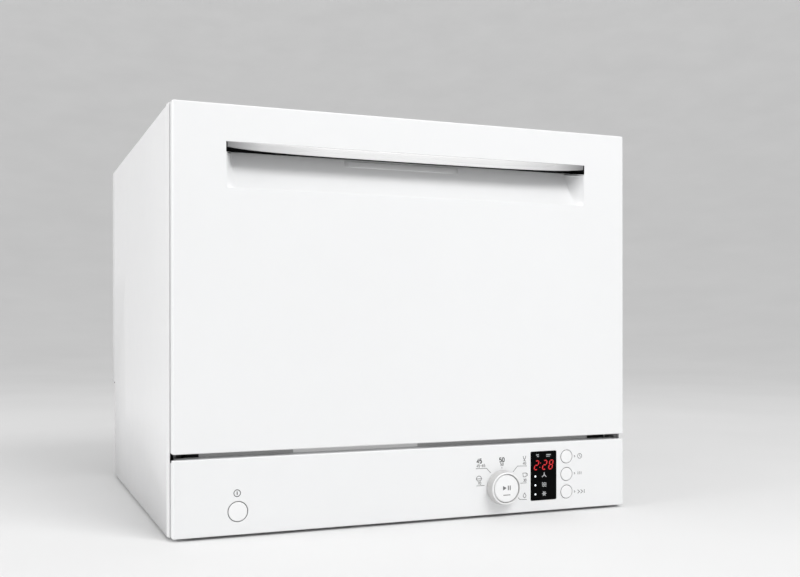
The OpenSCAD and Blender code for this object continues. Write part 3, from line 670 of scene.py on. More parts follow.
s = door.modifiers.new("sheet", "SOLIDIFY")
s.thickness, s.offset, s.use_even_offset = 2.5 * MM, -1, True
for s_ in (-1, 1):
    cutter(lambda q: q.box(*sorted((s_ * 262.0, s_ * 270.4)), YF + 2.6, YC + 3, 80, 93))
carve(door, cuts)
dress(door, "door", "white_gloss", ["door_outer_panel"], sharp=30, weighted=True)

# ---- finger recess
GX, SZ0, SZ1, SD = 216.0, 363.0, 411.0, 27.0


def depth_share(x):
    """0 at the recess's ends, 1 over its length, with a soft slope of about 10 mm."""
    t = (GX + 1.0 - abs(x)) / 10.8
    t = max(0.0, min(1.0, t))
    return t * t * (3 - 2 * t) * 0.12 + t * 0.88


def scoop(x, t):
    d = (SD * t + 3.6 * math.sin(math.pi * t)) * depth_share(x)
    z = SZ0 - 0.3 + (37.4 + 4.6 * d / SD) * t
    return (x, YF + d, z)


xs = [-217.2, -216.6, -216, -215, -213.5, -212, -210.5, -209, -207.5, -206.3, -205.5, -204.5, -202, -195, -180, -150, -115, -80]
xs = xs + [-40.0, 0.0, 40.0] + [-x for x in reversed(xs)]
p = Part().use("white_gloss")
ts = [0.0, 0.015, 0.05, 0.1, 0.17, 0.25, 0.34, 0.44, 0.54, 0.64, 0.74, 0.84, 0.92, 0.97, 1.0]
rows = [[scoop(x, t) for x in xs] for t in ts]
# the lip: the surface rolls over at its upper edge and goes down behind
lip = []
for x in xs:
    q = scoop(x, 1.0)
    lip.append(q)
rows.append([(q[0], q[1] + 0.35, q[2] + 0.42) for q in lip])
rows.append([(q[0], q[1] + 0.95, q[2] + 0.5) for q in lip])
rows.append([(q[0], q[1] + 1.3, q[2] + 0.1) for q in lip])
rows.append([(q[0], q[1] + 1.4, q[2] - 3.0) for q in lip])
p.grid(rows)
piece("handle_scoop_surface", p, "door", "white_gloss", ["handle_scoop"], inside=(0, -100, 360), thick=0.8, sharp=40)

# the dark channel behind the grip: its near-black walls are partly a dark insert and partly painted shade for the deep
# pocket
p = Part().use("cavity_black")
a, b = -GX - 1.1, GX + 1.1
p.box(a, b, -216.6, -215.6, 399, 428)
p.box(a, b, -232.5, -215.6, 426.0, 427.5)
p.box(a, b, -233.0, -232.0, 411.35, 427.5)
p.box(a, b, -241.4, -232.0, 411.35, 412.6)
for s in (-1, 1):
    p.box(*sorted((s * (GX + 0.1), s * (GX + 1.15))), -243.7, -215.6, 400.9, 411.3)
    p.box(*sorted((s * (GX + 0.1), s * (GX + 1.15))), -232.5, -215.6, 411.2, 427.5)
p.use("white_gloss")
p.box(a + 0.6, b - 0.6, -242.4, -235.5, 410.7, 411.6)
piece("handle_channel", p, "door", "black_plastic", bevel=0.2)

# a shallow pad inside the recess, seen as a faint step under the lip
p = Part().use("white_gloss")
rows = []
for t, up in ((0.80, 0.0), (0.815, 0.35), (0.83, 0.5), (0.9, 0.5), (0.955, 0.5), (0.965, 0.35), (0.97, 0.0)):
    r = []
    for k in range(15):
        x = -78 + 140 * k / 14
        q = scoop(x, t)
        e = 0.0 if k in (0, 14) else up
        r.append((q[0], q[1] - e, q[2] - e * 0.6))
    rows.append(r)
p.grid(rows)
piece("handle_step", p, "door", "white_gloss", inside=(0, -100, 360), thick=0.6, sharp=50)

# ---- grip strip
p = Part().use("grip_metal")
n = 48
rings = []
for k in range(n + 1):
    u = k / n
    x = -215.7 + 431.4 * u
    zl = 405.8 - 4.2 * (1 - math.exp(-(215.7 - abs(x)) / 38))
    zt = 411.25
    h = zt - zl
    tilt = 0.0
    pts = [(-235.2, zt - 0.2), (-242.6, zt), (-243.4, zt - 0.02), (-243.75, zt - 0.14), (-243.85, zt - 0.6),
           (-243.8, zt - 0.42 * h), (-243.62, zl + 0.9), (-243.35, zl + 0.35), (-242.8, zl + 0.05), (-241.8, zl),
           (-237.0, zl + 0.8), (-235.2, zl + 1.6)]
    rings.append([(x, y, z) for y, z in pts])
p.loft(rings)
piece("handle_grip_strip", p, "door", "grip_metal", ["handle_grip"], sharp=40)

# ---- fascia with its holes
KX, KZ = 105.2, 34.0
PX, PZ = -205.2, 27.2
DX0, DX1, DZ0, DZ1 = 143.3, 178.2, 15.4, 73.0
OX, OZ = 192.0, (65.1, 44.3, 23.5)
p = Part().use("white_gloss")
zd, vs = door_skin(p, 3.0, 83.0, [20.0, 60.0], r=1.2)
lids(p, vs)
fas = to_object("fascia_moulding", p, True, (0, -100, 40))
s = fas.modifiers.new("sheet", "SOLIDIFY")
s.thickness, s.offset, s.use_even_offset = 2.5 * MM, -1, True
cuts = []
cutter(lambda q: q.lathe([(0, 0), (10.9, 0), (10.9, 9), (0, 9)], (PX, -248, PZ), "y", 64))
for z in OZ:
    cutter(lambda q: q.lathe([(0, 0), (8.15, 0), (8.15, 9), (0, 9)], (OX, -248, z), "y", 48))
cutter(lambda q: q.prism(rrect(DX0, DX1, DZ0, DZ1, 1.5, 5), "y", -248, -239))
cutter(lambda q: q.lathe([(0, 0), (18.6, 0), (18.6, 9), (0, 9)], (KX, -248, KZ), "y", 64))
for s_ in (-1, 1):
    cutter(lambda q: q.box(*sorted((s_ * 268.0, s_ * 277.0)), -239, -220, 80, 84))
carve(fas, cuts)
bm = bmesh.new()
bm.from_mesh(fas.data)
rim = []
for e in bm.edges:
    if all(abs(v.co.y - YF * MM) < 2e-6 for v in e.verts):
        m = (e.verts[0].co + e.verts[1].co) / 2 / MM
        for cx_, cz_, r_ in [(PX, PZ, 10.9), (KX, KZ, 18.6)] + [(OX, z, 8.15) for z in OZ]:
            if all(abs(math.hypot(v.co.x / MM - cx_, v.co.z / MM - cz_) - r_) < 0.05 for v in e.verts):
                rim.append(e)
        if all(DX0 - 0.1 < v.co.x / MM < DX1 + 0.1 and DZ0 - 0.1 < v.co.z / MM < DZ1 + 0.1 for v in e.verts):
            rim.append(e)
rim = list(dict.fromkeys(rim))
bmesh.ops.bevel(bm, geom=rim, offset=0.45 * MM, segments=3, affect="EDGES", profile=0.5)
bm.to_mesh(fas.data)
bm.free()
dress(fas, "cabinet", "white_gloss", ["fascia"], sharp=30, weighted=True)

# inner parts of the fascia: the seat of the knob, ribs and the shelf under the gap
p = Part().use("white_gloss")
p.lathe([(4.3, -5.2), (13.6, -5.2), (14.0, -4.8), (14.0, 1.2), (18.9, 1.2), (18.9, 2.6), (4.3, 2.6)], (KX, YF, KZ), "y", 48, closed=True)
p.box(-270.8, 270.8, -241.4, YC - 0.45, 75.6, 77.9)
for x in (-250, -150, -60, 30, 240):
    p.box(x - 0.8, x + 0.8, -241.4, -232, 6, 75.6)
piece("fascia_ribs", p, "cabinet", "white_gloss", bevel=0.2)

# ---- display window
p = Part().use("display_glass")
pillow(p, DX0 + 0.28, DX1 - 0.28, DZ0 + 0.28, DZ1 - 0.28, 1.3, YF + 2.6, YF - 0.06, edge=0.35)
p.box(DX0 - 0.9, DX1 + 0.9, YF + 2.55, YF + 3.9, DZ0 - 1.5, DZ1 + 0.9)
piece("display_window_glass", p, "cabinet", "display_glass", ["display_window"], sharp=35)

YD = YF - 0.05
SEG = {"2": "abged", "8": "abcdefg", "0": "abcdef", "1": "bc"}


def seven(p, ch, x, z, w, h, t):
    """One slanted seven-segment figure, its lower left corner at x, z."""
    sl = 0.2
    g = 0.35

    def bar(x0, z0, x1, z1):
        dx, dz = x1 - x0, z1 - z0
        ln = math.hypot(dx, dz)
        ux, uz = dx / ln, dz / ln
        a = [(0, 0), (t / 2, t / 2), (ln - t / 2, t / 2), (ln, 0), (ln - t / 2, -t / 2), (t / 2, -t / 2)]
        pts = []
        for s_, q in a:
            px, pz = x0 + ux * s_ - uz * q, z0 + uz * s_ + ux * q
            pts.append((x + px + sl * pz, z + pz))
        p.poly(pts, YD, 0.05)

    m = h / 2
    segs = {"a": (g, h, w - g, h), "b": (w, h - g, w, m + g), "c": (w, m - g, w, g), "d": (g, 0, w - g, 0),
            "e": (0, m - g, 0, g), "f": (0, h - g, 0, m + g), "g": (g, m, w - g, m)}
    for k in SEG[ch]:
        bar(*segs[k])


p = Part().use("led_red")
for ch, x in (("2", 147.9), ("2", 158.9), ("8", 167.3)):
    seven(p, ch, x, 51.7, 4.5, 10.3, 1.3)
for z in (54.2, 59.2):
    p.dot(155.1 + 0.2 * (z - 51.6), z, 0.6, YD, 0.05)
piece("display_figures", p, "cabinet", "display_glass", sharp=30)

p = Part().use("led_white")
for z in (43.8, 33.5, 22.9):
    p.dot(149.6, z, 1.05, YD, 0.05, 20)
piece("display_lamps", p, "cabinet", "display_glass", sharp=30)


def ring_pts(x, z, r, n=20, a0=0, a1=360):
    full = abs(a1 - a0) >= 359.9
    m = n if full else n + 1
    return [(x + r * math.cos(math.radians(a0 + (a1 - a0) * k / n)), z + r * math.sin(math.radians(a0 + (a1 - a0) * k / n)))
            for k in range(m)]


p = Part().use("print_display")
p.stroke([(150.6, 68.9), (154.2, 68.9)], 0.9, YD, 0.04)
p.stroke([(151.8, 66.9), (154.2, 66.9)], 0.7, YD, 0.04)
p.stroke([(164.2, 68.6), (170.4, 68.6)], 0.9, YD, 0.04)
p.stroke([(164.2, 66.7), (169.2, 66.7)], 0.6, YD, 0.04)
# three plain signs: an arm, a wave and a star
p.stroke([(158.6, 42.6), (161.5, 45.2), (164.4, 42.6)], 0.8, YD, 0.04)
p.stroke([(161.5, 45.2), (161.5, 48.0)], 0.8, YD, 0.04)
p.dot(161.5, 45.2, 0.9, YD, 0.045)
for dz in (-1.8, 0.0, 1.8):
    p.stroke([(158.6 + 5.8 * k / 8, 33.7 + dz + 0.5 * math.sin(k * math.pi / 2)) for k in range(9)], 0.6, YD, 0.04)
for a in (0, 60, 120):
    c_, s_ = math.cos(math.radians(a)), math.sin(math.radians(a))
    p.stroke([(161.5 - 3 * c_, 23.2 - 3 * s_), (161.5 + 3 * c_, 23.2 + 3 * s_)], 0.6, YD, 0.04)
p.stroke(ring_pts(161.5, 23.2, 1.7), 0.5, YD, 0.045, closed=True)
piece("display_signs", p, "cabinet", "display_glass", sharp=30)

# ---- knob and buttons
p = Part().use("knob_grey")
side = [(17.9, 0.4), (19.55, 0.4), (19.7, 0.6), (19.6, 1.4), (18.5, 10.2), (18.42, 10.9)]
front = [(18.42, 10.9), (18.3, 11.35), (18.05, 11.7), (17.7, 11.92), (17.3, 12.0), (17.0, 11.98)]
bore = [(17.0, 11.98), (16.6, 11.75), (16.35, 11.4), (16.25, 11.0), (16.25, 3.0), (14.3, 3.0), (14.1, 2.8), (14.1, 0.4), (17.9, 0.4)]
neg = lambda pr: [(r, -h) for r, h in pr]
p.lathe(neg(side), (KX, YF, KZ), "y", 96)
p.use("white_key")
p.lathe(neg(front), (KX, YF, KZ), "y", 96)
p.use("knob_grey")
p.lathe(neg(bore), (KX, YF, KZ), "y", 96)
piece("programme_knob_ring", p, "programme_knob", "knob_grey", ["programme_knob"], sharp=40)

p = Part().use("white_key")
p.lathe(neg([(0, 11.78), (6, 11.76), (11, 11.66), (14.2, 11.5), (14.9, 11.36), (15.35, 11.1), (15.6, 10.7), (15.72, 10.2), (15.72, 7.0),
             (15.4, 6.8), (4, 6.8), (3.9, -9.8), (3.5, -10.3), (0, -10.3)]), (KX, YF, KZ), "y", 96)
piece("start_button_cap", p, "start_button", "white_gloss", ["start_button"], sharp=40)

p = Part().use("print_grey")
yb = YF - 11.72
p.poly([(KX - 5.0, KZ + 3.4), (KX - 5.0, KZ - 1.8), (KX - 0.4, KZ + 0.8)], yb, 0.1)
for q in (1.2, 3.6):
    p.poly([(KX + q, KZ + 3.4), (KX + q, KZ - 1.8), (KX + q + 1.3, KZ - 1.8), (KX + q + 1.3, KZ + 3.4)], yb, 0.1)
piece("start_sign", p, "start_button", "white_gloss", sharp=30)
p = Part().use("print_grey")
p.stroke([(KX - 4.6, KZ - 7.2), (KX + 4.6, KZ - 7.2)], 0.7, yb + 0.05, 0.12)
piece("start_bar", p, "start_button", "white_gloss", sharp=30)

p = Part().use("white_key")
p.lathe([(0, -0.08), (6, -0.1), (9.0, -0.15), (9.6, -0.08), (9.95, 0.15)], (PX, YF, PZ), "y", 72)
p.use("ring_grey")
p.lathe([(9.95, 0.15), (10.15, 0.6), (10.2, 3.6), (12.2, 3.6), (12.4, 3.8), (12.4, 4.7), (12.2, 4.9), (3, 4.9), (3, 9.4), (0, 9.4)], (PX, YF, PZ), "y", 72)
piece("power_button_cap", p, "power_button", "white_gloss", ["power_button"], sharp=45)
for i, z in enumerate(OZ, 1):
    p = Part().use("white_key")
    p.lathe([(0, -0.18), (4.5, -0.2), (6.7, -0.24), (7.15, -0.16), (7.45, 0.08)], (OX, YF, z), "y", 64)
    p.use("ring_grey")
    p.lathe([(7.45, 0.08), (7.6, 0.5), (7.65, 3.6), (9.0, 3.6), (9.2, 3.8), (9.2, 4.6), (9.0, 4.8), (2, 4.8), (2, 10.4), (0, 10.4)], (OX, YF, z), "y", 64)
    piece(f"option_button_{i}_cap", p, f"option_button_{i}", "white_gloss", [f"option_button_{i}"], sharp=45)

# ---- printed signs and plain numbers on the fascia
FONT = {"0": [[(0, .2), (0, .8), (.25, 1), (.75, 1), (1, .8), (1, .2), (.75, 0), (.25, 0), (0, .2)]],
        "1": [[(.15, .78), (.55, 1), (.55, 0)]],
        "2": [[(0, .8), (.2, 1), (.8, 1), (1, .8), (1, .62), (0, 0), (1, 0)]],
        "3": [[(0, .9), (.25, 1), (.75, 1), (1, .82), (1, .65), (.7, .52), (.4, .52)], [(.7, .52), (1, .36), (1, .18), (.75, 0), (.25, 0), (0, .12)]],
        "4": [[(.75, 0), (.75, 1), (0, .3), (1, .3)]],
        "5": [[(.95, 1), (.1, 1), (.05, .55), (.7, .6), (1, .42), (1, .18), (.75, 0), (.25, 0), (0, .12)]],
        "6": [[(.85, .98), (.35, .9), (0, .5), (0, .2), (.25, 0), (.75, 0), (1, .2), (1, .42), (.75, .58), (.25, .55), (0, .4)]],
        "7": [[(0, 1), (1, 1), (.4, 0)]],
        "-": [[(.1, .5), (.9, .5)]]}


def number(p, text, x, z, h, w, y, adv=None):
    adv = adv or h * 0.78
    for k, ch in enumerate(text):
        for line in FONT[ch]:
            p.stroke([(x + k * adv + a * h * 0.52, z + b * h) for a, b in line], w, y, 0.05)


YP = YF + 0.005
p = Part().use("print_dark")
number(p, "45", 73.0, 63.2, 4.6, 0.85, YP)
number(p, "50", 102.3, 63.2, 4.6, 0.8, YP)
piece("dial_numbers_dark", p, "cabinet", "white_gloss", sharp=30)

p = Part().use("print_grey")
number(p, "45-65", 72.8, 58.6, 2.9, 0.45, YP)
p.stroke([(71.6, 57.0), (85.3, 56.8), (90.8, 51.1)], 0.45, YP)
number(p, "50", 103.4, 58.9, 2.9, 0.45, YP)
p.stroke([(105.3, 57.6), (105.3, 55.6)], 0.45, YP)
# left: a pot sign over a number
p.stroke(ring_pts(75.6, 45.2, 3.2, 12, 0, 180), 0.55, YP)
p.stroke([(71.6, 45.2), (79.6, 45.2)], 0.55, YP)
p.stroke([(72.4, 45.2), (73.4, 43.0), (78.0, 43.0), (78.8, 45.2)], 0.55, YP)
number(p, "70", 74.2, 38.8, 2.9, 0.45, YP)
p.stroke([(72.2, 37.3), (82.7, 37.3)], 0.45, YP)
# right top: a glass and a plate
p.stroke([(133.2, 68.6), (134.0, 65.0), (136.0, 65.0), (136.8, 68.6)], 0.5, YP)
p.stroke([(135.0, 65.0), (135.0, 63.0)], 0.5, YP)
p.stroke([(133.4, 62.9), (136.6, 62.9)], 0.5, YP)
number(p, "40", 133.1, 58.6, 2.9, 0.45, YP)
p.stroke([(119.9, 50.8), (125.7, 57.2), (138.3, 56.8)], 0.45, YP)
# right middle: a cup over a number
p.stroke([(132.8, 48.6), (133.4, 44.2), (137.0, 44.2), (137.6, 48.6), (132.8, 48.6)], 0.5, YP)
p.stroke(ring_pts(137.9, 46.6, 1.4, 8, -90, 90), 0.45, YP)
number(p, "30", 133.6, 38.8, 2.9, 0.45, YP)
p.stroke([(129.6, 37.1), (137.8, 37.1)], 0.45, YP)
# right bottom: a drop
p.stroke([(135.2, 25.6), (133.3, 22.4), (133.8, 20.6), (135.2, 19.9), (136.6, 20.6), (137.1, 22.4), (135.2, 25.6)], 0.5, YP)
p.stroke([(126.6, 20.6), (128.4, 18.4), (137.9, 17.7)], 0.45, YP)
# small lamps and signs right of the option buttons
for z in (65.0, 44.6, 23.0):
    p.stroke([(202.4, z + 1.2), (203.8, z), (202.4, z - 1.2)], 0.5, YP)
p.stroke(ring_pts(210.2, 65.0, 2.9, 20), 0.5, YP, closed=True)
p.stroke([(210.2, 66.9), (210.2, 65.0), (211.6, 64.2)], 0.45, YP)
for k in range(3):
    p.stroke([(207.4 + k * 2.2, 46.4), (208.2 + k * 2.2, 45.4), (207.4 + k * 2.2, 44.2), (208.2 + k * 2.2, 43.0)], 0.45, YP)
for k in range(2):
    p.stroke([(207.4 + k * 4.2, 24.8), (210.2 + k * 4.2, 22.6), (207.4 + k * 4.2, 20.4)], 0.6, YP)
p.stroke([(216.6, 24.8), (216.6, 20.4)], 0.6, YP)
piece("dial_signs", p, "cabinet", "white_gloss", sharp=30)

p = Part().use("print_dark")
p.stroke(ring_pts(-206.0, 46.4, 3.5, 28), 0.6, YP, closed=True)
p.stroke([(-206.0, 48.2), (-206.0, 44.6)], 0.75, YP)
piece("power_sign", p, "cabinet", "white_gloss", sharp=30)

# ---- the strip behind the gap, with its lighter middle plate
# both of the strip's materials glow faintly: painted light for the shaded gap
p = Part().use("strip_grey_glowing")
p.box(-240, 240, -214.8, -212.3, 60.5, 94)
p.box(-240, 240, -212.4, -201.1, 91.6, 94)
p.use("strip_pale_glowing")
p.box(-136.7, 11.7, -215.4, -214.7, 76, 92)
piece("drip_strip_moulding", p, "cabinet", "grey_plastic", ["drip_strip"], bevel=0.4)

# ---- rear panel, screws
p = Part().use("zinc_sheet")
out = [(-273.9, 138.5), (273.9, 138.5)] + corner(271.4, 445.9, 2.5, 0, 90, 4) + corner(-271.4, 445.9, 2.5, 90, 180, 4)
p.prism(out, "y", 253.4, 254.6)
for z in (200, 330):
    rings = []
    for d, y in ((0, 254.55), (0.6, 254.75), (1.8, 255.4), (2.6, 255.58), (3.4, 255.6)):
        rings.append([(x, y, zz) for x, zz in rrect(-200 + d, 200 - d, z + d, z + 60 - d, 9 - d, 6)])
    p.loft(rings)
piece("rear_panel_sheet", p, "cabinet", "zinc_sheet", ["rear_panel"], bevel=0.3, angle=50)


def cross_screw(r, h, axis_len, r_shank):
    """A pan-head screw along +Y with a cross recess, its seat at y 0."""
    q = Part().use("zinc_steel")
    q.lathe([(0, h), (r * 0.55, h * 0.97), (r * 0.82, h * 0.78), (r * 0.96, h * 0.45), (r, 0.12), (r * 0.97, 0), (r_shank, 0),
             (r_shank, -axis_len), (0, -axis_len)], (0, 0, 0), "y", 32)
    o = to_object("screw_blank", q)
    c1, c2 = Part().use("zinc_steel"), Part().use("zinc_steel")
    c1.box(-r * 0.58, r * 0.58, h * 0.35, h + 1, -r * 0.11, r * 0.11)
    c2.box(-r * 0.11, r * 0.11, h * 0.35, h + 1, -r * 0.58, r * 0.58)
    carve(o, [to_object("c1", c1), to_object("c2", c2)])
    return o


def many(name, template, places, body, slot, nodes, rot=None):
    """Copies of a template mesh at several places, joined into one piece."""
    bm = bmesh.new()
    for k, pl in enumerate(places):
        start = len(bm.verts)
        bm.from_mesh(template.data)
        bm.verts.ensure_lookup_table()
        ang = (0.7 + 2.1 * k) % 6.28
        m = Matrix.Translation(Vector(pl) * MM) @ (rot or Matrix.Identity(4)) @ Matrix.Rotation(ang, 4, "Y")
        for v in bm.verts[start:]:
            v.co = m @ v.co
    me = bpy.data.meshes.new(name)
    bm.to_mesh(me)
    bm.free()
    for m in template.data.materials:
        me.materials.append(m)
    o = bpy.data.objects.new(name, me)
    scene.collection.objects.link(o)
    dress(o, body, slot, nodes, sharp=40)
    bpy.data.objects.remove(template)
    return o


many("casing_screw_set", cross_screw(4.2, 1.3, 8.0, 1.9),
     [(x, 254.6, z) for x in (-255, 255) for z in (152, 290, 432)], "cabinet", "zinc_steel", ["casing_screws"])

# ---- feet
for name, x, y, body, nodes in (("levelling_foot_left_pad", -215, -188, "levelling_foot_left", ["levelling_foot_left"]),
                                ("levelling_foot_right_pad", 215, -188, "levelling_foot_right", ["levelling_foot_right"])):
    p = Part().use("foot_rubber")
    p.lathe([(0, 0.3), (5, 0.3), (5.4, 0.0), (8, 0.0), (8.4, 0.3), (11, 0.3), (11.4, 0.0), (15.4, 0.0), (15.85, 0.25), (16, 0.8), (16, 2.0),
             (15.7, 2.5), (15, 2.7), (4.2, 2.7)], (x, y, 0), "z", 64)
    p.use("black_plastic")
    prof = [(4.0, 2.7)]
    z = 3.2
    while z < 18:
        prof += [(4.0, z), (3.5, z + 0.4), (4.0, z + 0.8)]
        z += 1.2
    prof += [(3.4, 19.0), (0, 19.0)]
    p.lathe(prof, (x, y, 0), "z", 32)
    piece(name, p, body, "foot_rubber", nodes, sharp=40)
p = Part().use("foot_rubber")
for x in (-215, 215):
    p.lathe([(0, 0.3), (5, 0.3), (5.4, 0.0), (8, 0.0), (8.4, 0.3), (11, 0.3), (11.4, 0.0), (15.4, 0.0), (15.85, 0.25), (16, 0.8), (16, 2.2),
             (15.7, 2.7), (15, 2.9), (4.0, 2.9), (4.0, 18.5), (3.4, 19.0), (0, 19.0)], (x, 186, 0), "z", 64)
piece("rear_feet_pads", p, "cabinet", "foot_rubber", ["rear_feet"], sharp=40)

# ================================================================ interior
def inset(pts, d):
    """A closed counter-clockwise outline moved inwards by d."""
    n = len(pts)
    out = []
    for i in range(n):
        a, b, c = Vector(pts[i - 1]), Vector(pts[i]), Vector(pts[(i + 1) % n])
        u, w = b - a, c - b
        u = u.normalized() if u.length > 1e-9 else w.normalized()
        w = w.normalized() if w.length > 1e-9 else u
        m = Vector((-(u.y + w.y), u.x + w.x))
        m = m.normalized() if m.length > 1e-6 else Vector((-u.y, u.x))
        k = 1 / max(0.45, m.dot(Vector((-u.y, u.x))))
        out.append((b.x + m.x * d * k, b.y + m.y * d * k))
    return out


def slab(part, pts, axis, a, b, edge=0.5, steps=3, first=None):
    """An outline carried along an axis from a to b, with both of its ends rolled over."""
    put = {"x": lambda p, t: (t, p[0], p[1]), "y": lambda p, t: (p[0], t, p[1]), "z": lambda p, t: (p[0], p[1], t)}[axis]
    s = sum(p[0] * q[1] - q[0] * p[1] for p, q in zip(pts, pts[1:] + pts[:1]))
    pts = list(pts) if s > 0 else list(reversed(pts))
    first = edge if first is None else first
    lv = []
    for k in range(steps + 1):
        t = math.pi / 2 * k / steps
        lv.append((a + first * (1 - math.cos(t)), first * (1 - math.sin(t))))
    for k in range(steps, -1, -1):
        t = math.pi / 2 * k / steps
        lv.append((b - edge * (1 - math.cos(t)), edge * (1 - math.sin(t))))
    part.loft([[put(q, pos) for q in inset(pts, d)] for pos, d in lv])


def flat_fillet(pts, r, steps=4):
    return [(q[0], q[1]) for q in fillet([(p[0], p[1], 0) for p in pts], r, steps, True)]


def rect_sweep(part, inner, outer, r_in, r_out, prof, n=6):
    """A closed profile of (share, y) carried round a rounded rectangle."""
    rings = []
    for t, y in prof:
        q = [i + (o - i) * t for i, o in zip(inner, outer)]
        rings.append([(x, y, z) for x, z in rrect(q[0], q[1], q[2], q[3], r_in + (r_out - r_in) * t, n)])
    part.grid(rings, close_u=True, close_v=True)


# ---- tub
def tub_ring(d, bead=0.0):
    """The wash chamber's section: rounded corners, three beads in each side wall."""
    r = 9.0
    x, z0, z1 = 245.0 - d, 104.0 + d, 424.0 - d
    out = []

    def arc(cx, cz, a0):
        for k in range(6):
            t = math.radians(a0 + 90 * k / 5)
            out.append((cx + r * math.cos(t), cz + r * math.sin(t)))

    beads = [z0 + (z1 - z0) * f for f in (0.22, 0.48, 0.74)]
    arc(x - r, z0 + r, -90)
    for z in beads:
        out.extend([(x, z - 5), (x - bead, z - 2), (x - bead, z + 2), (x, z + 5)])
    arc(x - r, z1 - r, 0)
    out.extend([(x * 0.5, z1), (0, z1), (-x * 0.5, z1)])
    arc(-x + r, z1 - r, 90)
    for z in reversed(beads):
        out.extend([(-x, z + 5), (-x + bead, z + 2), (-x + bead, z - 2), (-x, z - 5)])
    arc(-x + r, z0 + r, 180)
    out.extend([(-x * 0.5, z0), (0, z0), (x * 0.5, z0)])
    return out


def tub_frame_ring(x1, z0, z1):
    return [(x * x1 / 245.0, z0 + (z - 104) * (z1 - z0) / 320.0) for x, z in tub_ring(0)]


p = Part().use("stainless")
rows = [(tub_frame_ring(260.4, 91.1, 440.9), -197.6), (tub_frame_ring(260.4, 91.1, 440.9), -199.3),
        (tub_frame_ring(260.1, 91.4, 440.6), -199.9), (tub_frame_ring(259.6, 91.9, 440.1), -200.0),
        (tub_ring(-2.4), -200.0), (tub_ring(-1.3), -199.8), (tub_ring(-0.5), -199.2), (tub_ring(0), -198.0), (tub_ring(0), -168),
        (tub_ring(0, 1.1), -156), (tub_ring(0, 1.1), 160), (tub_ring(0), 172), (tub_ring(0), 203)]
for k in range(1, 6):
    a = math.pi / 2 * k / 5
    rows.append((tub_ring(9 * (1 - math.cos(a))), 203 + 9 * math.sin(a)))
rows += [(tub_ring(38), 212), (tub_ring(40), 211.7), (tub_ring(42), 210.9), (tub_ring(46), 210.9), (tub_ring(48), 211.7), (tub_ring(50), 212)]
p.loft([[(x, y, z) for x, z in ring] for ring, y in rows], cap0=False)
tub = to_object("tub_shell", p, True, (0, 0, 260))
s = tub.modifiers.new("sheet", "SOLIDIFY")
s.thickness, s.offset, s.use_even_offset = 1.0 * MM, 1, True
cuts = []
for cx_, cy_, r_ in ((96, -74, 47), (-120, 82, 29.6), (0, 6, 14.2)):
    cutter(lambda q: q.lathe([(0, -4), (r_, -4), (r_, 4), (0, 4)], (cx_, cy_, 104), "z", 72))
cutter(lambda q: q.box(-9, 9, -203, -196, 431.5, 445))
carve(tub, cuts)
dress(tub, "cabinet", "stainless", ["tub"], sharp=35)

# ---- seal of the tub
p = Part().use("seal_rubber")
rect_sweep(p, (-249, 249, 102.6, 426), (-257, 257, 97.5, 431.2), 6, 10,
           [(0.12, -201.1), (0.0, -201.9), (0.03, -203.2), (0.16, -204.0), (0.34, -203.9), (0.42, -203.0), (0.5, -202.7), (0.58, -203.2),
            (0.66, -204.8), (0.8, -205.2), (0.94, -204.8), (1.0, -203.6), (1.0, -201.1)], 8)
piece("door_seal", p, "cabinet", "seal_rubber", ["door_gasket"], sharp=60)

# ---- runners: folded channels
p = Part().use("stainless")
for s in (-1, 1):
    o_ = [(245, 119), (231.4, 119), (231.1, 119.3), (231, 119.8), (231, 124.4), (231.3, 124.85), (231.9, 125), (232.6, 124.85), (233, 124.4),
          (233, 123.4), (233.4, 123), (245, 123)]
    o_ = [(s * x, z) for x, z in o_]
    slab(p, o_, "y", -192, 200, 0.3)
piece("rack_runners", p, "cabinet", "stainless", ["rack_rails"], sharp=30)

# ---- spray arm
p = Part().use("arm_plastic")
wing = [(0, -19), (30, -21.2), (60, -22), (95, -19.4), (130, -15), (174, 2), (185, 12), (188, 24), (180, 31), (162, 26), (120, 16), (60, 12), (0, 17)]
ca, sa = [], []
for ang in (28, 208):
    c_, s_ = math.cos(math.radians(ang)), math.sin(math.radians(ang))
    w_ = flat_fillet([(q[0] * c_ - q[1] * s_, q[0] * s_ + q[1] * c_ + 6) for q in wing], 14, 4)
    slab(p, w_, "z", 113.05, 119.4, 2.4, 4, 1.4)
    # a raised spine along the wing and the nozzles
    sp = [(18, -2), (60, -6.5), (110, -3.2), (150, 6.5), (172, 18)]
    sp = [(q[0] * c_ - q[1] * s_, q[0] * s_ + q[1] * c_ + 6, 118.7) for q in sp]
    p.tube(fillet(sp, 20, 4), 3.0, 10, flat=0.42, up=(0, 0, 1))
    for nx, ny in ((55, -6), (95, -3), (135, 3), (172, 20)):
        x, y = nx * c_ - ny * s_, nx * s_ + ny * c_ + 6
        p.lathe([(1.5, -3.5), (1.5, 1.25), (1.8, 1.5), (3.0, 1.5), (3.9, 1.0), (4.4, 0.1), (4.4, -0.9)], (x, y, 119.4), "z", 20)
        # a black disc closes each nozzle's bore: painted shade standing in for the dark hole
        p.use("cavity_black")
        p.lathe([(0, 0.5), (1.5, 0.5)], (x, y, 119.4), "z", 20)
        p.use("arm_plastic")
p.lathe([(8.1, 0), (20.2, 0), (20.8, 0.3), (21, 0.9), (21, 5.5), (20.6, 7.6), (19.6, 8.8), (18, 9.4), (14.6, 9.5), (14.2, 9.2), (13.8, 8.4), (10.2, 8.4),
         (9.8, 9.2), (9.4, 9.5), (8.5, 9.5), (8.1, 9.1)], (0, 6, 112), "z", 64, closed=True)
piece("spray_arm_blade", p, "spray_arm", "arm_plastic", ["spray_arm"], sharp=35)

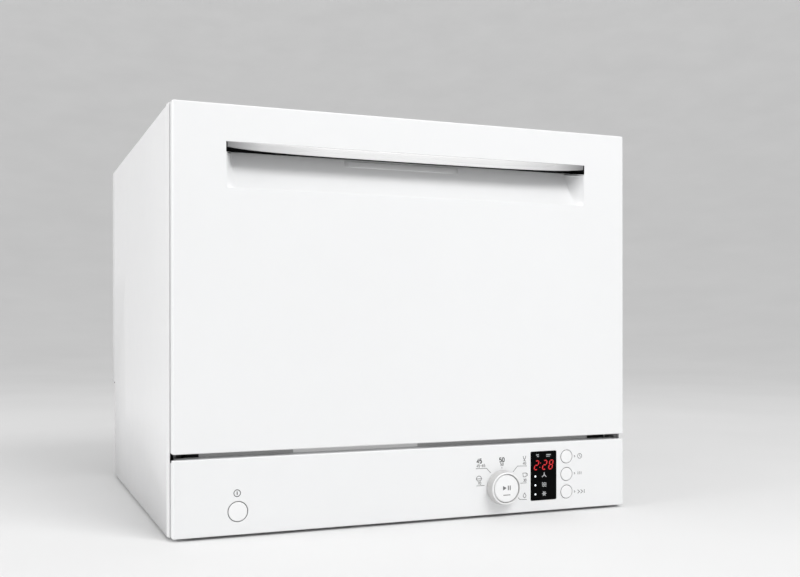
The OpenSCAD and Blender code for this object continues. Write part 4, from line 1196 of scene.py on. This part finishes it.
# ---- riser under the arm, with its cap
p = Part().use("grey_plastic")
p.lathe([(0, -22), (14, -22), (14, -0.2), (13.7, 0.7), (13, 1), (11.4, 1), (11, 1.4), (11, 5), (10.6, 5.5), (8.3, 5.6), (8, 6), (8, 17.0), (7.7, 17.7),
         (7.0, 18), (5.5, 18), (4.9, 17.4), (3.2, 17.0), (0, 17.0)], (0, 6, 106), "z", 48)
p.box(-9, 60, -3, 15, 70, 88)
piece("spray_riser", p, "cabinet", "grey_plastic", ["spray_hub"], sharp=35)

# ---- coarse filter: a pressed ring with rows of small openings
p = Part().use("stainless_bright")
rr_ = [24.0, 24.3, 26.0, 28.0] + [28.0 + 1.55 * k for k in range(1, 15)] + [51.2, 52.6, 53.6, 54.0]
hh_ = []
for r_ in rr_:
    h_ = 105.3 if r_ < 27 else 104.9
    if r_ > 51.5:
        h_ = 105.1 if r_ < 53 else (104.8 if r_ < 53.9 else 104.2)
    if r_ < 24.2:
        h_ = 104.6
    hh_.append(h_)
N_ = 144
rings = [[(96 + r_ * math.cos(2 * math.pi * k / N_), -74 + r_ * math.sin(2 * math.pi * k / N_), h_) for k in range(N_)] for r_, h_ in zip(rr_, hh_)]
p.grid(rings, close_u=True, skip=lambda i, j: 3 < i < 17 and i % 2 == 0 and (j + (i // 2)) % 2 == 0 and j % 18 not in (0, 17))
piece("coarse_filter", p, "cabinet", "stainless", ["filter_plate"], inside=(96, -74, 60), thick=0.5, sharp=40)

# ---- filter cup
p = Part().use("arm_plastic")
prof = [(20.5, 2.2), (20.5, 44.0), (20.8, 44.5), (26.3, 44.5), (26.8, 44.2), (27.0, 43.7), (27.0, 42.5), (26.7, 42.05), (22.9, 42.0), (22.5, 41.5), (22.5, 37)]
z = 36.0
while z > 6:
    prof += [(22.5, z), (22.1, z - 0.8), (22.1, z - 3.2), (22.5, z - 4)]
    z -= 5
prof += [(22.5, 0.5), (22, 0), (0, 0)]
p.lathe([(0, 2.2)] + prof, (96, -74, 64), "z", 72)
for k in range(24):
    a = 2 * math.pi * k / 24
    c_, s_ = math.cos(a), math.sin(a)
    x, y = 96 + 23.9 * c_, -74 + 23.9 * s_
    p.loft([[(x + dx * c_ - dy * s_, y + dx * s_ + dy * c_, zz) for dx, dy in ((-2.0, -0.5), (2.0, -0.5), (2.0, 0.5), (-2.0, 0.5))] for zz in (108.3, 109.0)])
p.use("cap_blue")
slab(p, flat_fillet([(75, -76), (117, -76), (117, -72), (75, -72)], 1.5), "z", 100, 109.4, 0.9)
piece("fine_filter_cup", p, "filter_cup", "arm_plastic", ["filter_cup"], sharp=35)

# ---- lid of the salt well
p = Part().use("cap_blue")
N_ = 96
def salt_ring(r_, z_, k_):
    return [(-120 + (r_ - (k_ if q % 4 < 2 else 0)) * math.cos(2 * math.pi * q / N_),
             82 + (r_ - (k_ if q % 4 < 2 else 0)) * math.sin(2 * math.pi * q / N_), z_) for q in range(N_)]
p.loft([salt_ring(23.0, 90, 0), salt_ring(23.6, 90.6, 0), salt_ring(23.6, 106, 0), salt_ring(29.4, 106.05, 0), salt_ring(30, 106.5, 0.7), salt_ring(30, 108.3, 0.7),
        salt_ring(29.5, 108.8, 0.5), salt_ring(28.4, 109, 0), salt_ring(26.6, 109, 0), salt_ring(26.2, 108.6, 0), salt_ring(10, 108.6, 0)])
for a in (0, 90):
    c_, s_ = math.cos(math.radians(a)), math.sin(math.radians(a))
    o_ = flat_fillet([(-24, -2.5), (24, -2.5), (24, 2.5), (-24, 2.5)], 2.2)
    slab(p, [(-120 + x * c_ - y * s_, 82 + x * s_ + y * c_) for x, y in o_], "z", 108.3, 111.2, 0.9)
piece("salt_well_lid", p, "salt_cap", "cap_blue", ["salt_cap"], sharp=35)

# ---- basket: coated round wires
W = 1.95
p = Part().use("rack_coat")
for z in (228.0, 180.0):
    p.wire([(-222, -190, z), (222, -190, z), (222, 190, z), (-222, 190, z)], W, 12, 10, closed=True, steps=6)
for s in (-1, 1):
    p.wire([(s * 222, -174, 148), (s * 222, 192, 148)], W, 2, 10)
for y in (-150, -98, -46, 6, 58, 110, 162):
    p.wire([(-222, y, 228), (-222, y, 150), (-205, y, 132.9), (205, y, 132.9), (222, y, 150), (222, y, 228)], W * 0.96, 9, 10, steps=5)
for x in (-206, -160, -108, -56, -4, 48, 112, 160, 206):
    p.wire([(x, -158, 133.2), (x, 190, 133.2)], W * 0.96, 2, 10)
for k in range(13):
    x = -222 + 37 * k
    if abs(x) > 221:
        x = x * 218.5 / 222
    p.wire([(x, 190, 131.2), (x, 190, 228)], W * 0.96, 2, 10)
p.wire([(-222, 190, 133), (222, 190, 133)], W, 2, 10)
for k in range(11):
    x = -185 + 37 * k
    p.wire([(x, -150, 133), (x, -157.5, 133.2), (x, -190, 160.5), (x, -190, 228)], W * 0.96, 12, 10, steps=5)
p.wire([(-187, -174, 145.8), (187, -174, 145.8)], W, 2, 10)
for x0, x1 in ((-207.9, -206.4), (106.5, 110.6)):
    slab(p, rrect(-33, -27, 131, 140.8, 2.4, 4), "x", x0, x1, 0.4)
p.tube([(-207.5, -30, 138.5), (-203, -30, 138.5)], 1.2, 12)
p.tube([(103, -30, 138.5), (108, -30, 138.5)], 1.2, 12)
for y in (74, 161):
    slab(p, flat_fillet([(209, 195), (222, 195), (222, 204), (209, 204)], 2), "y", y, y + 3, 0.4)
    slab(p, flat_fillet([(219, 180), (222, 180), (222, 204), (219, 204)], 1), "y", y, y + 3, 0.4)
p.tube([(214, 76, 199.5), (214, 82, 199.5)], 1.5, 12)
p.tube([(214, 156, 199.5), (214, 162, 199.5)], 1.5, 12)
for s in (-1, 1):
    for y in (-118, 118):
        slab(p, rrect(y - 8, y + 8, 128, 147, 4, 5), "x", *sorted((s * 218.5, s * 222.4)), 0.8)
        slab(p, rrect(y - 8, y + 8, 131, 135, 1.5, 4), "x", *sorted((s * 204, s * 219)), 0.4)
        p.lathe([(0, 0), (3, 0), (3, 12.6), (2.6, 13.6), (0, 14)] if s > 0 else [(0, 0), (3, 0), (3, -12.6), (2.6, -13.6), (0, -14)], (s * 222, y, 134), "x", 20)
piece("basket_wires", p, "rack", "rack_coat", ["rack_frame"], sharp=40)


def tine_row(name, y, zc, zt, body, nodes):
    q = Part().use("rack_coat")
    q.tube([(-206, y, zc), (-205, y, zc), (105, y, zc), (106, y, zc)], 1.95, 12)
    for k in range(13):
        x = -200 + 25 * k
        q.lathe([(0, 0), (1.9, 0), (1.9, zt - zc - 3), (1.6, zt - zc - 1.2), (0.9, zt - zc - 0.2), (0, zt - zc)], (x, y, zc), "z", 12)
        q.lathe([(1.9, -1.6), (2.3, 0), (2.2, 1.6), (1.9, 3.2)], (x, y, zc), "z", 12)
    piece(name, q, body, "rack_coat", nodes, sharp=45)


tine_row("plate_tines", 64, 137.0, 186, "rack", ["rack_tines"])
tine_row("folding_tines", -30, 138.5, 187, "fold_tines", ["fold_tines"])

# ---- folding shelf for cups
p = Part().use("arm_plastic")
for y in (80, 106, 132, 158):
    slab(p, rrect(134, 212, y - 1.6, y + 1.6, 1.5, 4), "z", 198.05, 201.15, 0.7)
for x in (134, 174):
    slab(p, rrect(x, x + 3.2, 78.4, 159.6, 1.5, 4), "z", 198.05, 201.15, 0.7)
for x in (147, 160.5, 187, 199):
    slab(p, rrect(x, x + 1.8, 79.5, 158.5, 0.8, 3), "z", 198.3, 200.4, 0.4)
slab(p, rrect(211, 216.8, 196.8, 202.2, 2.2, 5), "y", 78.4, 159.6, 0.6)
piece("cup_shelf_grille", p, "cup_shelf", "arm_plastic", ["cup_shelf"], sharp=35)

# ---- cutlery basket
p = Part().use("basket_plastic")
slab(p, rrect(124, 206, -158, 62, 5, 5), "z", 138, 226, 1.2)
cb = to_object("cutlery_box", p)
q = Part().use("basket_plastic")
for i in range(4):
    slab(q, rrect(126, 204, -156 + i * 54.5, -156 + i * 54.5 + 52.5, 3.5, 4), "z", 140, 300, 0.5)
q2 = Part().use("basket_plastic")
for i in range(4):
    for j in range(3):
        slab(q2, rrect(-147 + i * 54.5, -112 + i * 54.5, 150 + j * 24, 164 + j * 24, 3, 4), "x", 118, 212, 0.1)
carve(cb, [to_object("c1", q), to_object("c2", q2)])
dress(cb, "cutlery_basket", "basket_plastic", ["cutlery_basket"], bevel=0.45, seg=2, angle=40)
p = Part().use("basket_plastic")
p.tube(fillet([(128, -47.5, 201), (128, -47.5, 225.5), (153.5, -47.5, 249.9), (176.5, -47.5, 249.9), (202, -47.5, 225.5), (202, -47.5, 201)], 12, 6), 1.9, 12)
for x in (124.4, 205.6):
    for i in range(4):
        for yy in (-151.5, -107.5):
            y = yy + i * 54.5
            q = sorted((x, x + (0.9 if x > 200 else -0.9)))
            q = (max(123.4, q[0]), min(206.4, q[1]))
for z in (147.2, 219.5):
    rings = []
    for d in ((-0.1, -1.3), (0.45, -0.9), (0.45, 0.9), (-0.1, 1.3)):
        rings.append([(x, y, z + d[1]) for x, y in rrect(124 - d[0], 206 + d[0], -158 - d[0], 62 + d[0], 5 + d[0], 5)])
    p.grid(rings, close_u=True, close_v=True)
piece("cutlery_handle", p, "cutlery_basket", "basket_plastic", sharp=40)

# ---- wheels
for tag, s, y in (("fl", -1, -118), ("fr", 1, -118), ("rl", -1, 118), ("rr", 1, 118)):
    p = Part().use("wheel_plastic")
    prof = [(3.06, 0.1), (3.2, 0), (4.7, 0), (5.0, 0.3), (5.1, 1.7), (8.3, 1.7), (8.5, 0.4), (8.9, 0), (10.1, 0), (10.55, 0.3), (10.7, 0.9), (10.7, 4.1),
            (10.55, 4.7), (10.1, 5), (8.9, 5), (8.5, 4.6), (8.3, 3.3), (5.1, 3.3), (5.0, 4.7), (4.7, 5), (3.2, 5), (3.06, 4.9)]
    x0 = 225.2 if s > 0 else -230.2
    p.lathe(prof, (x0, y, 134), "x", 48, closed=True)
    for k in range(6):
        a = math.pi / 3 * k
        c_, s_ = math.cos(a), math.sin(a)
        o_ = [(4.9, -0.6), (8.6, -0.6), (8.6, 0.6), (4.9, 0.6)]
        p.loft([[(x, y + u * c_ - w * s_, 134 + u * s_ + w * c_) for u, w in o_] for x in (x0 + 0.5, x0 + 4.5)])
    piece("basket_wheel_" + tag, p, "rack_wheel_" + tag, "wheel_plastic", ["rack_wheel_" + tag], sharp=35)


# ---- steel inner door
def dr(x, z0, z1, r, y):
    return [(a, y, b) for a, b in rrect(-x, x, z0, z1, r, 7)]


p = Part().use("stainless")
rings = [dr(270.6, 92.4, 447, 3, -224.3), dr(270.5, 92.5, 446.9, 3, -223.7), dr(270.2, 92.8, 446.6, 3, -223.42), dr(269.6, 93.2, 446, 3, -223.4),
         dr(265.2, 93.8, 443.2, 16, -223.4), dr(263.4, 94.7, 441.4, 15.5, -223.0), dr(262.3, 95.7, 440.3, 15, -221.8), dr(262, 96, 440, 15, -220),
         dr(262, 96, 440, 15, -210.5)]
for k in range(1, 6):
    a = math.pi / 2 * k / 5
    d = 4 * (1 - math.cos(a))
    rings.append(dr(262 - d, 96 + d, 440 - d, 15 - d * 0.5, -210.0 + 4 * math.sin(a)))
for d, y in ((20, -206), (21.5, -206.25), (23.5, -207.3), (27, -207.3), (29, -206.25), (30.5, -206)):
    rings.append(dr(262 - d, 96 + d, 440 - d, 14, y))
p.loft(rings, cap0=False)
dip = to_object("inner_door_sheet", p, True, (0, -700, 260))
s = dip.modifiers.new("sheet", "SOLIDIFY")
s.thickness, s.offset, s.use_even_offset = 0.95 * MM, -1, True
cuts = []
cutter(lambda q: slab(q, rrect(-75, 75, 199, 311, 6, 4), "y", -212, -200, 0.1))
for s_ in (-1, 1):
    cutter(lambda q: q.box(*sorted((s_ * 261.0, s_ * 276.0)), -230, -220, 85, 130))
    for z in (150, 290, 430):
        cutter(lambda q: q.lathe([(0, 0), (3.4, 0), (3.4, 6), (0, 6)], (s_ * 266.6, -227, z), "y", 32))
carve(dip, cuts)
dress(dip, "door", "stainless", ["door_inner_panel"], sharp=30)

# two pressed ribs under and over the dispenser
p = Part().use("stainless")
for z in (150, 362):
    rings = []
    for d, y in ((0, -206.3), (0, -205.95), (1.0, -205.5), (2.2, -205.15), (4.0, -205.05)):
        rings.append([(x, y, zz) for x, zz in rrect(-170 + d, 170 - d, z + d, z + 11 - d, 5.4 - d, 7)])
    p.loft(rings)
piece("inner_door_ribs", p, "door", "stainless", sharp=50)

# ---- dispenser
p = Part().use("natural_plastic")
slab(p, rrect(-74.5, 74.5, 199.5, 310.5, 5, 4), "y", -231, -205.6, 0.5)
disp_body = to_object("dispenser_back", p)
p = Part().use("natural_plastic")
slab(p, rrect(-80, 80, 194, 316, 8, 6), "y", -205.9, -203.4, 1.1, 4, 0.1)
plate = to_object("dispenser_plate", p)
for o_ in (disp_body, plate):
    q, q2 = Part().use("natural_plastic"), Part().use("natural_plastic")
    slab(q, rrect(-60, 8, 225, 285, 5, 4), "y", -226, -195, 1.0)
    q2.lathe([(0, 0), (14, 0), (14, 20), (0, 20)], (45, -215, 255), "y", 48)
    carve(o_, [to_object("c1", q), to_object("c2", q2)])
dress(disp_body, "door", "natural_plastic", ["detergent_dispenser"], sharp=35)
dress(plate, "door", "natural_plastic", sharp=35)
p = Part().use("natural_plastic")
rings = []
for d, y in ((0, -203.6), (0, -203.3), (0.3, -203.12), (1.7, -203.12), (2.0, -203.3), (2.0, -203.6)):
    rings.append([(x, y, z) for x, z in rrect(-71 + d, 72 - d, 202 + d, 308 - d, 5 - d * 0.5, 5)])
p.grid(rings, close_u=True, close_v=True)
for k in range(5):
    slab(p, rrect(-20 + k * 7, -16 + k * 7, 294, 302, 0.8, 3), "y", -203.6, -203.12, 0.15)
p.use("cavity_black")
p.lathe([(0, 0.9), (2.6, 0.8), (4.2, 0.4), (4.8, 0)], (45, -203.4, 219), "y", 28)
p.use("natural_plastic")
p.lathe([(4.6, 0), (4.8, 0.9), (5.6, 0.9), (6.0, 0)], (45, -203.45, 219), "y", 28)
piece("dispenser_trim", p, "door", "natural_plastic", sharp=35)

p = Part().use("arm_plastic")
slab(p, rrect(-64, 12, 221, 289, 4, 5), "y", -203, -201, 0.7)
for k in range(4):
    slab(p, rrect(-40, -12, 270.2 + 2.55 * k, 271.9 + 2.55 * k, 0.8, 4), "y", -201.3, -198.5 - 0.25 * abs(k - 1.5), 0.6)
slab(p, rrect(-58, 6, 227, 262, 3, 4), "y", -201.3, -200.6, 0.35)
piece("dispenser_cover", p, "dispenser_lid", "arm_plastic", ["dispenser_lid"], sharp=35)

p = Part().use("cap_blue")
N_ = 72
def cap_ring(r_, y_, k_):
    return [(45 + (r_ - (k_ if q % 3 == 0 else 0)) * math.cos(2 * math.pi * q / N_), y_,
             255 + (r_ - (k_ if q % 3 == 0 else 0)) * math.sin(2 * math.pi * q / N_)) for q in range(N_)]
p.loft([cap_ring(13.1, -212, 0), cap_ring(13.6, -211.5, 0), cap_ring(13.6, -203, 0), cap_ring(16.5, -203, 0), cap_ring(17, -202.6, 0.6), cap_ring(17, -201.1, 0.6),
        cap_ring(16.5, -200.6, 0.4), cap_ring(15.4, -200.4, 0), cap_ring(14.6, -200.4, 0), cap_ring(14.2, -200.7, 0), cap_ring(6, -200.7, 0)])
slab(p, rrect(32, 58, 252.5, 257.5, 2.2, 5), "y", -200.9, -198, 0.9)
piece("rinse_cap_turned", p, "rinse_aid_cap", "cap_blue", ["rinse_aid_cap"], sharp=35)

# ---- screws of the door, springs
many("door_screw_set", cross_screw(3.2, 0.75, 0.1, 1.5), [(x, -224.3, z) for x in (-266.6, 266.6) for z in (150, 290, 430)], "door", "zinc_steel",
     ["door_screws"])
p = Part().use("zinc_steel")
for s in (-1, 1):
    pts = [(s * 256, -160, 40)]
    turns, m_ = 40, 10
    for k in range(turns * m_ + 1):
        a = 2 * math.pi * k / m_
        pts.append((s * 256 + 4.5 * math.cos(a), -157 + 104.0 * k / (turns * m_), 40 + 4.5 * math.sin(a)))
    pts.append((s * 256, -50, 40))
    p.tube(pts, 0.9, 6)
piece("spring_coils", p, "door", "zinc_steel", ["door_springs"], sharp=60)

# ---- connectors at the back
p = Part().use("natural_plastic")
slab(p, rrect(-190, -150, 74, 101.6, 3, 4), "y", 178, 227, 0.8)
slab(p, rrect(-186, -154, 78, 99, 2, 4), "y", 168, 178.5, 0.6)
slab(p, rrect(-186, -154, 101, 116, 2, 4), "y", 214.5, 227, 0.6)
prof = [(0, 6.0), (9.2, 6.0), (9.4, 6.3), (9.4, 21.2), (9.8, 21.9), (10.2, 22.0), (11.6, 22.0), (12.2, 21.6)]
z = 21.2
while z > 8.2:
    prof += [(12.25, z), (13.15, z - 0.65), (13.15, z - 0.95), (12.25, z - 1.6)]
    z -= 1.85
prof += [(12.2, 7.0), (16.4, 7.0), (16.9, 6.6), (17.0, 6.0), (17.0, 4.4), (16.6, 3.9), (13.2, 3.8), (13.2, 0)]
p.lathe(prof, (-170, 226, 92), "y", 56)
p.use("grey_plastic")
for k in range(-3, 4):
    h_ = math.sqrt(max(0.1, 9.0 ** 2 - (k * 2.4) ** 2))
    p.box(-170 + k * 2.4 - 0.35, -170 + k * 2.4 + 0.35, 232.0, 233.2, 92 - h_, 92 + h_)
    p.box(-170 - h_, -170 + h_, 232.1, 233.1, 92 + k * 2.4 - 0.35, 92 + k * 2.4 + 0.35)
piece("inlet_valve_body", p, "cabinet", "natural_plastic", ["inlet_valve"], sharp=35)

p = Part().use("black_plastic")
prof = [(0, 30), (7.6, 30), (7.8, 30.3), (7.8, 44.2), (8.3, 45), (9.2, 45), (9.5, 44.6), (9.95, 41.0), (9.0, 40.6), (9.1, 40.2), (9.95, 37.0), (9.0, 36.6), (9.1, 36.2),
        (9.95, 33.0), (9.1, 32.6), (9.1, 28), (13.6, 27.6), (14, 27.1), (14, 25.3), (13.6, 24.9), (9.8, 24.8), (9.8, 0), (0, 0)]
p.lathe(prof, (-112, 205, 92), "y", 48)
p.lathe([(0, 0), (9.5, 0), (9.8, 0.3), (9.8, 61.0), (9.2, 61.8), (0, 61.8)], (-112, 205, 40), "z", 40)
piece("drain_outlet", p, "cabinet", "black_plastic", ["drain_spigot"], sharp=35)

p = Part().use("black_plastic")
slab(p, rrect(170, 210, 68, 108, 2, 3), "y", 214.6, 229.8, 0.5)
slab(p, rrect(164, 216, 62, 114, 4, 5), "y", 229.7, 232.4, 0.8)
rings = []
for r_, y_, k_ in ((8.9, 231.6, 0), (8.95, 232.6, 0), (8.95, 233.0, 0.45), (8.95, 237.6, 0.45), (8.6, 238.2, 0.3), (7.6, 238.4, 0), (7.0, 239.5, 0), (6.5, 240, 0), (4.9, 240, 0),
                   (4.5, 239.7, 0), (4.5, 233, 0), (0.01, 233, 0)):
    rings.append([(190 + (r_ - (k_ if q % 4 < 2 else 0)) * math.cos(2 * math.pi * q / 64), y_,
                   88 + (r_ - (k_ if q % 4 < 2 else 0)) * math.sin(2 * math.pi * q / 64)) for q in range(64)])
p.loft(rings)
p.use("zinc_steel")
for x, z in ((169.5, 67.5), (210.5, 108.5)):
    p.lathe([(0, 1.1), (1.6, 1.05), (2.5, 0.75), (3.0, 0.2), (3.0, -0.2)], (x, 232.4, z), "y", 24)
piece("cable_gland", p, "cabinet", "black_plastic", ["mains_inlet"], sharp=35)

# ---- low relief of the base's rear wall
p = Part().use("base_plastic")
for x in (-262, -226, -52, -16, 20, 56, 92, 128, 252):
    slab(p, rrect(x, x + 3, 12, 128, 1.4, 3), "y", 229.3, 230.6, 0.5)
for z in (12, 125):
    for x0, x1 in ((-262, -223), (-52, 131)):
        slab(p, rrect(x0, x1, z, z + 3, 1.4, 3), "y", 229.3, 230.6, 0.5)
piece("base_rear_ribs", p, "cabinet", "base_plastic", sharp=35)

# =================================================================== stage
fm = bpy.data.materials.new("studio_floor")
fm.use_nodes = True
nt = fm.node_tree
pb = next(n for n in nt.nodes if n.type == "BSDF_PRINCIPLED")
nz = _noise(nt, nt.nodes.new("ShaderNodeTexCoord").outputs["Object"], 2.0, 3.0)
rp = _ramp(nt, nz.outputs["Fac"], [(0.3, (0.76, 0.76, 0.76)), (0.7, (0.79, 0.79, 0.79))])
nt.links.new(rp.outputs["Color"], pb.inputs["Base Color"])
pb.inputs["Roughness"].default_value = 0.75
me = bpy.data.meshes.new("floor")
bm = bmesh.new()
prof = [(0.0, 0.0), (1.5, 0.0), (3.0, 0.0)] + [(3.0 + 0.65 * k, 0.045 * (0.65 * k) ** 2) for k in range(1, 21)]
rings = []
for r_, z_ in prof:
    rings.append([bm.verts.new((r_ * math.cos(2 * math.pi * k / 72), r_ * math.sin(2 * math.pi * k / 72), z_)) for k in range(72)] if r_ else [bm.verts.new((0, 0, 0))] * 72)
for i in range(len(rings) - 1):
    for k in range(72):
        q = []
        for v_ in (rings[i][k], rings[i][(k + 1) % 72], rings[i + 1][(k + 1) % 72], rings[i + 1][k]):
            if v_ not in q:
                q.append(v_)
        bm.faces.new(q).smooth = True
bmesh.ops.recalc_face_normals(bm, faces=bm.faces)
bm.to_mesh(me)
bm.free()
me.materials.append(fm)
floor = bpy.data.objects.new("floor", me)
scene.collection.objects.link(floor)

world = bpy.data.worlds.new("studio")
scene.world = world
world.use_nodes = True
bg = next(n for n in world.node_tree.nodes if n.type == "BACKGROUND")
wt = world.node_tree
sep = wt.nodes.new("ShaderNodeSeparateXYZ")
wt.links.new(wt.nodes.new("ShaderNodeTexCoord").outputs["Generated"], sep.inputs[0])
sky = _ramp(wt, sep.outputs["Z"], [(0.25, (1.0, 1.0, 1.0)), (0.95, (0.55, 0.55, 0.55))])
wt.links.new(sky.outputs["Color"], bg.inputs["Color"])
bg.inputs["Strength"].default_value = 1.0


def area(name, loc, aim, size, power, size_y=None, color=(1, 1, 1)):
    d = bpy.data.lights.new(name, "AREA")
    d.shape = "RECTANGLE"
    d.size, d.size_y = size, size_y or size
    d.energy = power
    d.color = color
    o = bpy.data.objects.new(name, d)
    scene.collection.objects.link(o)
    o.location = loc
    o.rotation_mode = "QUATERNION"
    o.rotation_quaternion = (Vector(aim) - Vector(loc)).to_track_quat("-Z", "Y")
    return o


area("key", (0.9, -2.2, 2.5), (0, -0.2, 0.25), 1.6, 52, 1.4)
area("left_fill", (-3.0, -0.2, 1.3), (-0.2, 0, 0.25), 1.8, 37, 1.6)
scene.view_settings.view_transform = "Standard"
